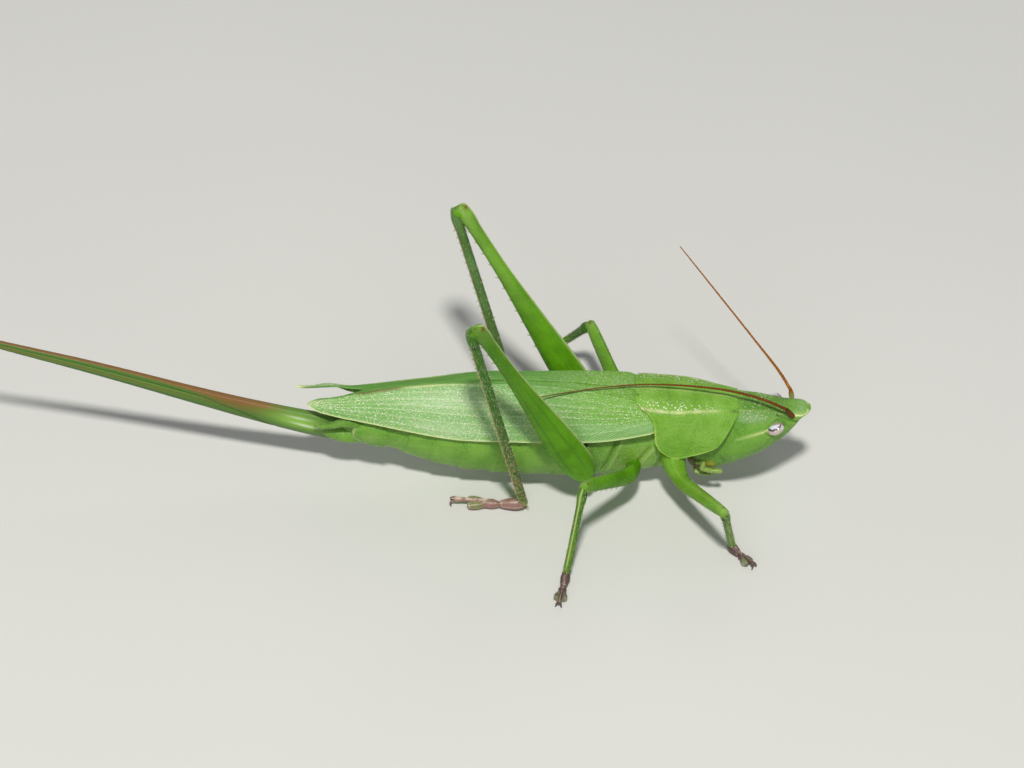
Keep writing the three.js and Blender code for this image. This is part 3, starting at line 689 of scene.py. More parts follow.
def length_property(name, millimetres, description):
    """A length in the panel, given here in millimetres."""
    default = millimetres * MM
    return FloatProperty(name=name, description=description, default=default, unit="LENGTH", precision=5)


class KatydidSizes(bpy.types.PropertyGroup):
    """Sizes of the fine parts, which the frame leaves open."""

    shield: length_property("Shield edge", 0.14, "Thickness of the pronotum's rim")
    wing: length_property("Wing", 0.07, "Thickness of a front wing")
    vein: length_property("Vein", 0.035, "How far a main vein stands out")
    feeler_root: length_property("Feeler root", 0.2, "Width of a feeler's thread at its root")
    feeler_tip: length_property("Feeler tip", 0.07, "Width of a feeler's thread where it ends")
    spine: length_property("Spine", 0.24, "Length of a hind shin's spine")
    hair: length_property("Hair", 0.16, "Length of a leg hair")
    seed: IntProperty(name="Seed", description="Start of the random hairs and spines", default=7, min=0)


def colour_property(name, code, description):
    """A colour in the panel, given here by its sRGB code."""
    look = {"subtype": "COLOR", "size": 3, "min": 0, "max": 1}
    return FloatVectorProperty(name=name, description=description, default=srgb(code), **look)


class KatydidColours(bpy.types.PropertyGroup):
    """Colours of the finishes."""

    body: colour_property("Body", "5f962c", "Head and thorax")
    body_light: colour_property("Body, lighter", "74a83a", "Lighter mottling of the head and thorax")
    pronotum: colour_property("Pronotum", "6fa52a", "The shield over the thorax")
    pronotum_light: colour_property("Pronotum, lighter", "80b340", "Lighter mottling of the shield")
    abdomen: colour_property("Abdomen", "6da035", "Rings of the abdomen")
    belly: colour_property("Belly", "94b96c", "Soft skin low on the flanks")
    fleck: colour_property("Fleck", "94c05a", "Fine pale flecks of the skin")
    # Pale grains of the shield and wings, with painted glints of light on them.
    grain_and_glint_speck: colour_property("Speck", "f3f7dc", "Pale raised grains of the shield and wings")
    # Furrow colour: the skin's dark lines, and painted shade in grooves, round the eyes and under the shield.
    shade: colour_property("Furrow", "3f6d1a", "Furrows and dark lines of the green skin")
    # Pale tint of the hair tips and of the lower part of the plate under the tail, and the painted sheen
    # behind the eye.
    frost: colour_property("Frost", "cbdfc4", "Waxy bloom behind the eye")
    # The rim's colour also lays painted light on the thorax's flank below the shield, and tints the abdomen
    # faintly.
    lime: colour_property("Rim", "b9d860", "Rim of the shield's side lobes")
    cream: colour_property("Cream", "dfe6a4", "Pale lines of the ridges")
    yellow: colour_property("Yellow", "d8b81e", "Spot beside the mouth")
    brown: colour_property("Brown", "6a3a20", "Small brown marks")
    rust: colour_property("Rust", "a3835e", "Grainy brown along the hind shins")
    wing: colour_property("Wing", "6fab4c", "Side field of the front wing")
    wing_pale: colour_property("Wing, pale", "8dbf70", "Pale streaks of the side field")
    wing_deep: colour_property("Wing, deep", "6fa847", "Greener patches of the side field")
    sheen: colour_property("Sheen", "c3ddae", "Whitish sheen of the wing")
    shoulder: colour_property("Shoulder", "76ab38", "Front of the wing, beside the shield")
    wing_net: colour_property("Wing net", "6fa650", "Fine net of cross veins")
    wing_vein: colour_property("Wing vein", "cfe3a8", "Main veins")
    wing_back: colour_property("Wing back", "5d9440", "Back field of the front wing")
    thigh: colour_property("Thigh", "508a06", "Thighs")
    thigh_light: colour_property("Thigh, lighter", "62a014", "Lighter parts of the thighs")
    front_thigh: colour_property("Front thigh", "6b9a22", "Thighs of the front legs")
    front_shin: colour_property("Front shin", "3f6d1c", "Shins of the front and middle legs")
    shin: colour_property("Shin", "3a6026", "Hind shins")
    shin_light: colour_property("Shin, lighter", "4d7640", "Lighter parts of the shins")
    foot: colour_property("Foot", "8f6a62", "Hind feet")
    foot_dark: colour_property("Foot, dark", "5a4440", "Front and middle feet")
    pad: colour_property("Pad", "62762f", "Third pad of each foot")
    feeler: colour_property("Feeler", "6c3a12", "Thread of the feelers")
    feeler_ring: colour_property("Feeler ring", "94581e", "Fine rings of the feelers")
    eye: colour_property("Eye", "c8baac", "Eye")
    eye_shadow: colour_property("Eye shadow", "94766e", "Lower and rear part of the eye")
    sword: colour_property("Ovipositor", "4b7323", "Sides of the ovipositor")
    sword_back: colour_property("Ovipositor back", "7f5a2a", "Upper edge of the ovipositor")
    floor: colour_property("Floor", "dcdcd8", "Studio floor")


def sizes():
    return bpy.context.scene.katydid_sizes


def finish(name):
    """The finish of that name, made the first time that it is asked for."""
    if name not in MADE:
        MADE[name] = RECIPES[name](bpy.context.scene.katydid_colours)
    return MADE[name]


MADE = {}
RECIPES = {
    "cuticle": lambda hue: cuticle_finish("green_skin", hue.body, hue.body_light),
    "shield": lambda hue: cuticle_finish("shield", hue.pronotum, hue.pronotum_light, grain=0.04),
    "wing_membrane": lambda hue: wing_finish(),
    "thigh": lambda hue: leg_finish("thigh", hue.thigh, hue.thigh_light),
    "thigh_front": lambda hue: leg_finish("thigh_front", hue.front_thigh, hue.body_light),
    "shin": lambda hue: leg_finish("shin", hue.shin, hue.shin_light),
    "shin_front": lambda hue: leg_finish("shin_front", hue.front_shin, hue.thigh),
    "eye_facets": lambda hue: eye_finish(),
    "spine": lambda hue: banded_finish("spine", [("tip", srgb("6b4520"), 0.75)], srgb("c6b878"), 0.3),
    "hair": lambda hue: banded_finish("hair", [("tip", hue.frost, 0.5)], srgb("cfdcae"), 0.45),
    "foot": lambda hue: banded_finish(
        "foot",
        [("pad", hue.pad, 1.0), ("pale", srgb("dccdb4"), 0.95), ("black", srgb("2c1a14"), 1.0)],
        hue.foot, 0.42, 0.035, worn=True,
    ),
    "foot_dark": lambda hue: banded_finish(
        "foot_dark",
        [("pad", srgb("77825a"), 0.85), ("pale", srgb("c4b49a"), 0.9), ("black", srgb("241512"), 1.0)],
        hue.foot_dark, 0.42, 0.035, worn=True,
    ),
    "feeler_near": lambda hue: banded_finish(
        "feeler_near",
        [("ring", hue.feeler_ring, 0.7), ("far", srgb("6f6a30"), 0.75), ("root", srgb("86603a"), 1.0),
         ("black", srgb("38200c"), 0.8)],
        hue.feeler, 0.55, specular=0.12,
    ),
    "feeler_far": lambda hue: banded_finish(
        "feeler_far",
        [("ring", srgb("cb9147"), 0.8), ("root", srgb("8f9450"), 1.0), ("black", srgb("4a2410"), 0.6)],
        srgb("94561a"), 0.55, specular=0.12,
    ),
    "mouth": lambda hue: banded_finish(
        "mouth_skin",
        [("brown", srgb("5a4020"), 0.9), ("pale", srgb("c3d687"), 0.9), ("yellow", hue.yellow, 1.0),
         ("black", srgb("3c1c10"), 1.0)],
        srgb("86a548"), 0.3,
    ),
    "tail": lambda hue: cuticle_finish("tail", hue.abdomen, hue.pronotum_light, roughness=0.36),
    "sword": lambda hue: banded_finish(
        "sword",
        [("back", hue.sword_back, 0.95), ("line", srgb("2f4a1c"), 0.85), ("pale", srgb("90c04c"), 0.85),
         ("brown", srgb("7d5a30"), 0.8), ("low", srgb("35552a"), 0.8), ("far", srgb("7a6434"), 0.75),
         ("glint", srgb("e2efd0"), 0.9)],
        hue.sword, 0.42, 0.015, 0.4,
    ),
    "studio_floor": lambda hue: floor_finish(),
}

# ---------------------------------------------------------------- body


def skin_rings():
    """The skin's rings from the abdomen's end to the cone's tip, as one grid, and its round angle."""
    tail = -17.25 - 0.55 * np.sin(np.linspace(np.pi / 2 - 0.1, 0, 8))
    x = np.concatenate([tail, np.linspace(-17.15, 6.2, 240), np.linspace(6.27, 14.6, 124)])
    head = ease(6.3, 7.3, x)
    lines = ((1 - head) * TRUNK[key](x) + head * HEAD[key](x) for key in ("top", "bottom", "waist", "half"))
    top, bottom, waist, half = lines
    shrink = np.sqrt(np.clip(1 - (np.clip(-17.25 - x, 0, 1) / 0.55) ** 2, 0.02, 1))[:, None]
    angle = (np.arange(132) / 132 * 2 * np.pi)[None]
    up, across = np.sin(angle), np.cos(angle)
    power = np.where(up > 0, (1.7 - 1.08 * head)[:, None], (1 - 0.05 * head)[:, None])
    y = shrink * half[:, None] * np.sign(across) * np.abs(across) ** power
    z = waist[:, None] + shrink * up * np.where(up > 0, (top - waist)[:, None], (waist - bottom)[:, None])
    return np.stack([np.broadcast_to(x[:, None], y.shape), y, z], -1), np.broadcast_to(angle, y.shape)


def abdomen_relief(x, z, low):
    """Each ring's rear edge stands proud of the next ring, over a soft creased strip on the flank."""
    place = x - RING_LEAN * z
    ends = np.array(RING_ENDS)
    raised = np.zeros_like(x)
    for front, rear in zip(ends, np.append(ends[1:], -18.5)):
        inside = (place <= front) & (place > rear)
        share = (place - rear) / (front - rear)
        step = 0.13 * (1 - share) ** 1.6 * ease(0, 0.06, share) - 0.03 * bell(share, 1, 0.08)
        raised[inside] = step[inside]
    crease = low + 0.9 + 0.12 * np.sin(2.9 * x)
    strip = bell(z, crease - 0.3, 0.26)
    folds = 0.035 * np.sin(9 * x + 3 * np.sin(2 * x)) * strip
    where = ease(-1, -2, place)
    return where * (raised * (1 - 0.6 * strip) + folds - 0.09 * bell(z, crease, 0.07)), where * strip


def side_lobe(x, z, flank):
    """The last ring's swollen side lobe, with a pale rounded rear edge, over the narrower tail."""
    reach = np.hypot((x + 15.75) / 1.3, (z - 4.6) / 1.4)
    lobe = ease(1.03, 0.9, reach) * ease(-14.3, -14.9, x)
    move = (0.2 * lobe + 0.1 * ease(1.0, 0.2, reach)) * flank
    pale_edge = 0.75 * bell(reach, 0.95, 0.05) * ease(-15.6, -16.1, x)
    return move - 0.14 * ease(-16.3, -16.8, x) * ease(1.0, 1.08, reach), {
        "cream": flank * (pale_edge + 0.05 * ease(0.6, 0.1, reach)),
        # painted shade: a dark line in the step just beyond the lobe's rim
        "deep": 0.5 * bell(reach, 1.1, 0.06) * flank * ease(-15, -15.6, x),
    }


THORAX_GROOVES = (
    # Each groove's (x, z) points down the flank, and its depth.
    ([(3.6, 5.1), (2.6, 3.3), (2.5, 2.2)], 0.16),
    ([(1.4, 6.2), (0.9, 4.4), (0.5, 3.0)], 0.2),
    ([(-0.9, 6.0), (-1.3, 4.2), (-1.2, 2.4)], 0.16),
    ([(4.9, 4.8), (4.4, 3.6), (4.2, 2.9)], 0.13),
)


def thorax_plates(x, z, flank):
    """The thorax's slanting side plates below the wing, parted by grooves with a ridge before each."""
    move, grooves, ridges = 0 * x, 0 * x, 0 * x
    for line, depth in THORAX_GROOVES:
        groove, ridge = near(x, z, line, 0.13) * flank, near(x - 0.34, z, line, 0.14) * flank
        move += 0.08 * ridge - depth * groove
        grooves += groove
        ridges += ridge
    # The grooves are darkened as painted shade.
    return move, {"deep": 0.7 * grooves, "cream": 0.16 * ridges}


CROWN_EDGE = profile((9.5, 19), (11, 17), (12.2, 22), (12.9, 35))


def head_relief(grid, angle, normal, flank):
    """The crown's edge, the socket round each eye, the grooves of cone and cheek, and the face."""
    x, y, z = np.moveaxis(grid, -1, 0)
    crown_edge = bell(np.abs(np.degrees(angle) - 90), CROWN_EDGE(x), 2.4) * between(x, 8.5, 9.4, 12.2, 13)
    ex, ez = x - EYE_CENTRE[0], z - EYE_CENTRE[2]
    cos, sin = math.cos(EYE_TILT), math.sin(EYE_TILT)
    socket = np.hypot((ex * cos + ez * sin) / 0.62, (ez * cos - ex * sin) / 0.44)
    cone = near(x, z, [(12.2, 8.0), (13.2, 7.62), (13.75, 7.32), (14.3, 7.45)], 0.07) * flank
    cone_edge = near(x, z, [(13.4, 7.95), (13.9, 7.9), (14.25, 7.95), (14.5, 8.12)], 0.07)
    cheek = near(x, z, [(11.9, 6.4), (11.2, 5.3), (10.2, 4.3), (9.4, 3.3)], 0.11) * flank * ease(7.5, 8.5, x)
    stripe = near(x, z, [(11.62, 7.1), (10.54, 6.75), (9.41, 6.24)], 0.09) * ease(8.6, 11.4, x)
    mouth_edge = near(x, z, [(8.6, 4.6), (8.9, 3.9), (9.2, 3.2)], 0.1) * flank
    facing = ease(0.15, 0.4, normal[..., 0]) * ease(9, 10, x)
    side_furrow = near(np.abs(y), z, [(0.42, 6.3), (0.8, 5.0), (0.92, 3.9)], 0.09)
    lip_furrow = near(np.abs(y), z, [(0, 3.55), (0.7, 3.7), (0.92, 3.9)], 0.08)
    face_lines = (side_furrow + lip_furrow) * facing
    middle_eye = spot(y, z - 6.75, 0.12) * facing
    move = 0.08 * crown_edge - 0.07 * bell(socket, 1.14, 0.08) + 0.035 * bell(socket, 1.42, 0.14)
    move += 0.03 * middle_eye - 0.05 * face_lines - 0.1 * cone - 0.03 * cheek - 0.07 * mouth_edge
    behind_eye = ease(12.4, 10.2, x) * ease(9.3, 9.9, x) * bell(z, 7.9 - 0.02 * (x - 11) ** 2, 0.26)
    marks = {
        # painted sheen, whitish behind the eye; the cone's top is whitened too
        "frost": 0.32 * behind_eye * flank + 0.2 * bell(x, 14.0, 0.5) * ease(7.8, 8.05, z),
        # painted glints of light on the crown, over its pale grains
        "grit": 0.4 * ease(9.4, 10, x) * ease(7.5, 8.1, z) * (1 - 0.6 * ease(11, 12.4, x)),
        "cream": 0.7 * middle_eye + 0.8 * stripe * flank + 0.14 * crown_edge
        + 0.9 * cone_edge * ease(0.1, 0.4, np.abs(y)),
        # painted shade: darkened grooves of face, cone, cheek and mouth edge, a ring in each eye's socket, a
        # band under the shield's front, and the crown
        "deep": 0.4 * face_lines + 0.8 * cone + 0.55 * mouth_edge + 0.3 * cheek
        + 0.5 * bell(socket, 1.1, 0.1) + 0.25 * between(x, 6.2, 7.2, 8.6, 9.5) * flank
        + 0.45 * between(x, 9.4, 10, 12.6, 13.4) * ease(7.3, 8, z),
        "yellow": 0.9 * spot(x - 7.9, z - 3.5, 0.3) * flank,
        "brown": 0.8 * spot(x - 7.25, z - 3.2, 0.35) * flank,
    }
    return move, marks


def body_skin():
    """The skin's points moved into its relief, the angle round it and all its marks."""
    grid, angle = skin_rings()
    x, _, z = np.moveaxis(grid, -1, 0)
    normal = outward_normals(grid)
    flank = ease(0.2, 0.6, np.abs(normal[..., 1]))
    move, strip = abdomen_relief(x, z, TRUNK["bottom"](x))
    # Painted light: the thorax's flank below the shield is lightened with the rim's colour.
    painted_light_below_shield = bell(x, 2.6, 1.3) * between(z, 2.4, 3, 5, 6) * flank
    marks = {
        "belly": strip,
        "lime": 0.04 * ease(0, -3, x) + 0.22 * painted_light_below_shield,
        # painted glints of light on the thorax's flank, over its pale grains
        "grit": 0.14 * flank * between(x, -1.8, -0.8, 5, 6),
        "deep": 0.08 * ease(-1.6, -0.4, x) * ease(6.5, 5.5, x) * flank,
    }
    reliefs = side_lobe(x, z, flank), thorax_plates(x, z, flank), head_relief(grid, angle, normal, flank)
    for part_move, part_marks in reliefs:
        move = move + part_move
        for name, values in part_marks.items():
            marks[name] = marks.get(name, 0) + values
    return grid + np.clip(move, -0.3, 0.3)[..., None] * normal, clipped(marks)


def build_body():
    """One skin over the head, the thorax and the abdomen's rings."""
    grid, marks = body_skin()
    lump = Lump()
    lump.add_tube(grid, **marks)
    rings = ["abdomen_%d" % i for i in range(1, 8)]
    nodes = ["head", "prothorax", "thorax", *rings, "abdomen_tip"]
    lump.make("body_skin", finish("cuticle"), nodes)


# ---------------------------------------------------------------- pronotum


def shield_grid(rows=90, cols=150):
    """The pronotum's outer face. u runs from its rear edge to its front one and v from the right
    lobe's lower edge (-1) over the back (0) to the left one's (1)."""
    u = np.linspace(0, 1, rows)[:, None]
    v = np.linspace(-1, 1, cols)[None]
    away, side = np.abs(v), np.sign(v)
    disc = np.clip(away / 0.3, 0, 1)
    lobe = np.clip((away - 0.3) / 0.7, 0, 1)
    z = np.broadcast_to(9.0 - 0.4 * disc**3 + (LOBE_LOW - 8.6) * lobe, (rows, cols))
    for _ in range(4):
        rear, front = PRONOTUM["rear"](z), PRONOTUM["front"](z)
        x = rear + (front - rear) * u
        carina = PRONOTUM["carina_z"](x)
        back = PRONOTUM["crown"](x) + (carina - PRONOTUM["crown"](x)) * disc**3
        z = np.where(away < 0.3, back, carina + (LOBE_LOW - carina) * lobe)
    wide, low = PRONOTUM["carina_half"](x), PRONOTUM["lobe_half"](x)
    round_side = 1 - (1 - lobe) ** (2.2 + 1.1 * ease(5, 8.5, x))
    y = np.where(away < 0.3, wide * disc, wide + (low - wide) * round_side + 0.06 * np.sin(np.pi * lobe))
    return np.stack([x, side * y, z], -1), np.broadcast_to(u, z.shape), np.broadcast_to(v, z.shape)


def build_pronotum():
    """The shield, a thin shell with a raised rim, two pale keels and cross grooves."""
    grid, u, v = shield_grid()
    normal = grid_normals(grid, around=False)
    normal *= np.sign(normal[grid.shape[0] // 2, grid.shape[1] // 2, 2])
    x, y, z = np.moveaxis(grid, -1, 0)
    away = np.abs(v)
    edge = np.minimum(6.5 * np.minimum(u, 1 - u), 6 * (1 - away))
    carina = bell(away, 0.3, 0.018)
    back_grooves = sum(bell(x - 0.25 * np.sin(4 * away), at, 0.13) for at in (4.6, 6.4, 7.5))
    side_groove = bell(x + 1.3 * (away - 0.3), 6.9, 0.16) * between(away, 0.34, 0.5, 0.75, 1)
    grooves = back_grooves * ease(0.28, 0.2, away) + side_groove
    side = ease(0.3, 0.42, away)
    front_edge = ease(5.4, 6.4, z) * ease(0.4, 0.8, u)
    lift = 0.055 * bell(edge, 0.08, 0.12) * side * (1 - 0.8 * front_edge) + 0.07 * carina - 0.035 * grooves
    lift += 0.012 * np.sin(4 * x + 2 * z) * np.sin(3.6 * z - 1.5 * x) * side
    marks = {
        "lime": 0.9 * bell(edge, 0, 0.15) * ease(0.35, 0.6, away) * (1 - 0.85 * front_edge),
        "cream": (0.55 + 0.2 * np.sin(5 * x)) * carina * ease(9, 7, x) + 0.2 * bell(away, 0, 0.012),
        # The cross grooves are darkened as painted shade; a darker band also runs along each lobe below the
        # keel.
        "deep": 0.22 * grooves + 0.14 * between(away, 0.32, 0.37, 0.45, 0.75) * ease(4, 5.5, x),
        # painted glints: a band of sparkles along the inside of each keel, fading towards the front, and a
        # few down the middle at the rear, over sparse pale grains
        "grit": 0.03 + 0.9 * bell(away, 0.25, 0.07) * ease(8.8, 6.4, x)
        + 0.35 * bell(away, 0.05, 0.05) * ease(5, 3, x),
        "brown": 0.7 * spot(x - 3.0, z - 8.75, 0.13) * ease(0.25, 0.32, away),
        "black": 0.75 * spot(0.4 * (x - 9.25), 14 * (away - 0.31), 0.12)
        + 0.9 * spot(x - 2.45, y + 0.75, 0.08),
    }
    shell = sizes().shield / MM * (0.35 + 0.65 * ease(-0.02, 0.5, edge))
    shell += 0.5 * ease(0.15, 1.1, edge) * ease(0.45, 0.7, away)
    lump = Lump()
    lump.add_plate(grid + lift[..., None] * normal, grid - shell[..., None] * normal, **clipped(marks))
    lump.make("pronotum_shield", finish("shield"), ["pronotum"])


# ---------------------------------------------------------------- eyes


def build_eyes():
    """The two tilted oval eyes, each with a dark jagged band along its upper part."""
    turn = pitch(EYE_TILT)
    for side, sign in SIDES:
        centre = EYE_CENTRE * np.array([1, sign, 1])
        grid = blob_grid(centre + [0, 0.02 * sign, 0], EYE_RADII, turn, rows=56, cols=72)
        local = (grid - centre) @ turn
        along, up, outer = local[..., 0] / EYE_RADII[0], local[..., 2] / EYE_RADII[2], local[..., 1] * sign
        teeth = 0.03 * np.sin(17 * along) + 0.02 * np.sin(29 * along + 1)
        jag = 0.66 - 0.14 * along - 0.1 * bell(along, -0.2, 0.12) + teeth
        band = bell(up, jag, 0.1 - 0.035 * along) * between(along, -0.99, -0.88, 0.8, 0.93)
        rear = ease(-0.62, -0.97, along) * ease(0.75, 0.5, up)
        marks = {
            "black": 1.3 * band * ease(0, 0.15, outer),
            "shadow": 0.45 * ease(0.2, -0.7, up) + 0.9 * rear + 0.85 * ease(0.14, 0.04, outer),
            # painted reflection of the sky over the eye's upper part and front
            "white": ease(0.68, 0.8, up) + 0.8 * ease(0.6, 0.95, along),
        }
        lump = Lump()
        lump.add_tube(grid, **clipped(marks))
        lump.make("eye_ball_" + side, finish("eye_facets"), ["eye_" + side])


# ---------------------------------------------------------------- wings


SIDE_VEINS = (
    # Shares of the way from the lower edge to the fold, by x, and how strongly each stands out.
    (profile((-20, 0.3), (-14, 0.16), (-6, 0.14), (0, 0.2), (4.4, 0.5)), 0.6),
    (profile((-20, 0.45), (-14, 0.34), (-8, 0.3), (-3, 0.34), (1, 0.42), (4.4, 0.62)), 0.8),
    (profile((-20, 0.55), (-14, 0.5), (-8, 0.46), (-3, 0.48), (1, 0.53), (4.4, 0.66)), 1.0),
    (profile((-20, 0.68), (-14, 0.62), (-8, 0.58), (-3, 0.59), (1, 0.62), (4.4, 0.7)), 1.0),
    (profile((-20, 0.8), (-14, 0.75), (-8, 0.7), (-3, 0.69), (1, 0.7), (4.4, 0.74)), 1.0),
    (profile((-20, 0.9), (-14, 0.88), (-8, 0.86), (-3, 0.84), (1, 0.82), (4.4, 0.8)), 0.8),
)


def wing_grid(sign):
    """A front wing's outer face from its tip to the shield, and from its lower edge up over the fold
    to the middle of the back."""
    end = WING_TIPS[sign]
    tip = end + 0.5 * (1 - np.cos(np.linspace(0, np.pi / 2, 8)))[:-1]
    x = np.concatenate([tip, np.linspace(end + 0.5, 4.4, 260)])[:, None]
    side = np.linspace(0, 1, 72)
    back = np.linspace(0, 1, 16)[1:]
    fold_z = LEFT_FOLD(x) if sign > 0 else TEGMEN["fold_z"](x)
    edge_z = TEGMEN["edge_z"](x)
    if sign > 0:
        edge_z = edge_z + (fold_z - 0.2 - edge_z) * ease(-16.6, -19.4, x)
    fold = np.stack([TEGMEN["fold_half"](x), fold_z], -1)
    edge = np.stack([TEGMEN["edge_half"](x), edge_z], -1)
    flank = edge + (fold - edge) * side[None, :, None]
    flank[..., 0] += 0.22 * np.sin(np.pi * side)[None] * ease(end, end + 2.4, x)
    # The left wing's back field lies over the right one's.
    middle = fold * [0, 1] + ([-0.3, 0.13] if sign > 0 else [0.02, 0.03])
    middle = fold + (middle - fold) * (0.1 + 0.9 * ease(-19, -14.8, x))[..., None]
    over = fold + (middle - fold) * back[None, :, None]
    over[..., 1] += 0.05 * np.sin(np.pi * back)[None]
    section = np.concatenate([flank, over], 1)
    x = np.broadcast_to(x, section.shape[:2])
    # The tip is rounded, or drawn out on the left wing, by narrowing the section towards its middle.
    core = fold[:, None, 0] if sign > 0 else (0.5 * (fold + edge))[:, None, 0]
    reach = np.clip((x - end) / (2.0 if sign > 0 else 1.1), 0.002, 1)
    section = core + (section - core) * (reach if sign > 0 else np.sqrt(1 - (1 - reach) ** 2))[..., None]
    behind = x - PRONOTUM["rear"](section[..., 1])
    under, sunk = ease(-0.4, 0.15, behind), ease(-0.1, 0.5, behind)
    on_side = np.concatenate([side * 0 + 1, 1 - back])[None]
    section[..., 0] -= (0.16 * under + 0.2 * sunk) * on_side
    section[..., 1] -= (0.07 * under + 0.16 * sunk) * np.concatenate([ease(0.7, 1, side), back * 0 + 1])[None]
    return np.stack([x, sign * section[..., 0], section[..., 1]], -1), len(side)


def front_wing_marks(sign, x, across, full, field, standing, ridges):
    """The painted marks of a front wing. The field is true below the fold."""
    share, past = across / full, across - full
    edge, fold_line = ridges
    lowest = SIDE_VEINS[1][0](x)
    rear_gleam = bell(x, -10.7, 3.2) * (bell(share, 0.7, 0.24) + 0.75 * bell(share, 0.18, 0.17))
    gleam = 0.9 * rear_gleam + 0.34 * bell(x, -4.5, 3) * bell(share, 0.5, 0.3)
    forward = ease(-8, -4, x)
    # Pale grains with painted glints of light: spread evenly towards the rear, mostly on the veins further
    # forward.
    grit = 0.62 - 0.34 * forward + (0.38 + 0.3 * forward) * np.clip(standing, 0, 1)
    tip = ease(-19.4, -20.1, x) * (0.5 if sign < 0 else 0.1)
    fan = between(x, -2.2, -0.2, 3.4, 4.3) * ease(lowest + 0.04, lowest - 0.1, share)
    marks = {
        "vein": standing,
        "back": ease(-0.03, 0.05, past),
        # The pale stretch of the fold line around x = -12 is a painted highlight; the pale lower edge is the
        # wing's own colour.
        "cream": 0.8 * edge + 0.6 * fold_line * bell(x, -12, 2.6) + tip * (edge + fold_line),
        "brown": 0.7 * fold_line * between(x, -17.2, -16.4, -14.4, -13.2) * (sign < 0),
        "deep": 0.3 * bell(past, 0.12, 0.08) * between(x, -14, -9, -9, -5),
        "sheen": field * gleam,
        "fan": field * fan,
        "grit": np.where(field, grit * ease(0, 0.5, share + ease(0, -3, x)), 0.4 * ease(-8, 1, x)),
        "front": 0.9 * ease(-6, 1.5, x) * ease(0.25, 0.62, share),
    }
    return {"along": x, "across": across, **clipped(marks)}


def build_front_wing(side, sign):
    """A thin plate with raised veins: six main ones, oblique ones below, twigs near the tip."""
    grid, cols = wing_grid(sign)
    normal = grid_normals(grid, around=False)
    normal *= np.sign(np.sum(normal[:, :cols, 1]) * sign)
    x = grid[..., 0]
    across = np.cumsum(np.linalg.norm(np.diff(grid, axis=1, prepend=grid[:, :1]), axis=-1), axis=1)
    full = across[:, cols - 1 : cols]
    share, past = across / full, across - full
    field = np.arange(grid.shape[1])[None] < cols
    standing = sum(strength * bell((share - line(x)) * full, 0, 0.05) for line, strength in SIDE_VEINS)
    lowest = SIDE_VEINS[1][0](x)
    oblique = bell((x - 1.5 * across + 50) % 1.1, 0.55, 0.05) * ease(lowest + 0.02, lowest - 0.03, share)
    twigs = bell((x + 0.9 * across + 50) % 1.5, 0.75, 0.05) * ease(-11, -13.5, x) * ease(0.4, 0.6, share)
    standing = np.where(field, standing + 0.5 * oblique * ease(4, 2, x) + 0.4 * twigs, 0)
    edge, fold_line = bell(across, 0, 0.09), bell(past, 0, 0.09)
    back_veins = np.where(field, 0, bell(past % 0.4, 0.2, 0.05))
    height = np.clip(standing, 0, 1.1) + 1.5 * edge + 1.2 * fold_line + 0.4 * back_veins
    outer = grid + (sizes().vein / MM * height)[..., None] * normal
    lump = Lump()
    marks = front_wing_marks(sign, x, across, full, field, standing, (edge, fold_line))
    lump.add_plate(outer, grid - sizes().wing / MM * normal, **marks)
    lump.make("front_wing_" + side, finish("wing_membrane"), ["tegmen_" + side])


def build_hind_wing(side, sign):
    """The strip of a hind wing that lies folded under the back field of the front one."""
    x = np.linspace(WING_TIPS[sign] + 4.5, -4, 60)[:, None]
    top = (LEFT_FOLD(x) if sign > 0 else TEGMEN["fold_z"](np.maximum(x, -19.6))) - 0.2
    y = 0.06 + np.minimum(0.28, 0.04 + 0.3 * (x - x[0])) * np.linspace(0, 1, 9)[None]
    z = top + 0.05 * np.sin(40 * y) - 0.2 * (y - 0.06)
    outer = np.stack([np.broadcast_to(x, y.shape), sign * y, z], -1)
    lump = Lump()
    pleats = bell((y * 9) % 1, 0.5, 0.2)
    lump.add_plate(outer, outer - [0, 0, 0.08], along=x, across=y, vein=pleats, deep=0.3)
    lump.make("hind_wing_" + side, finish("wing_membrane"), ["hindwing_" + side])


def build_wings():
    """The two front wings, and the two hind wings folded under them."""
    for side, sign in SIDES:
        build_front_wing(side, sign)
        build_hind_wing(side, sign)


# ---------------------------------------------------------------- legs


def leg_parts(name):
    """A leg's sizes, its joints, the way its knee bends, and which side of the body it is on."""
    pair, side = name.split("_")
    hip, knee, ankle = (np.array(LEGS[name][key], float) for key in ("hip", "knee", "ankle"))
    thigh, shin = unit(knee - hip), unit(ankle - knee)
    bend = unit(shin - thigh * shin.dot(thigh))
    return pair, (1 if side == "left" else -1), HIND if pair == "hind" else FORE_MID, hip, knee, ankle, bend


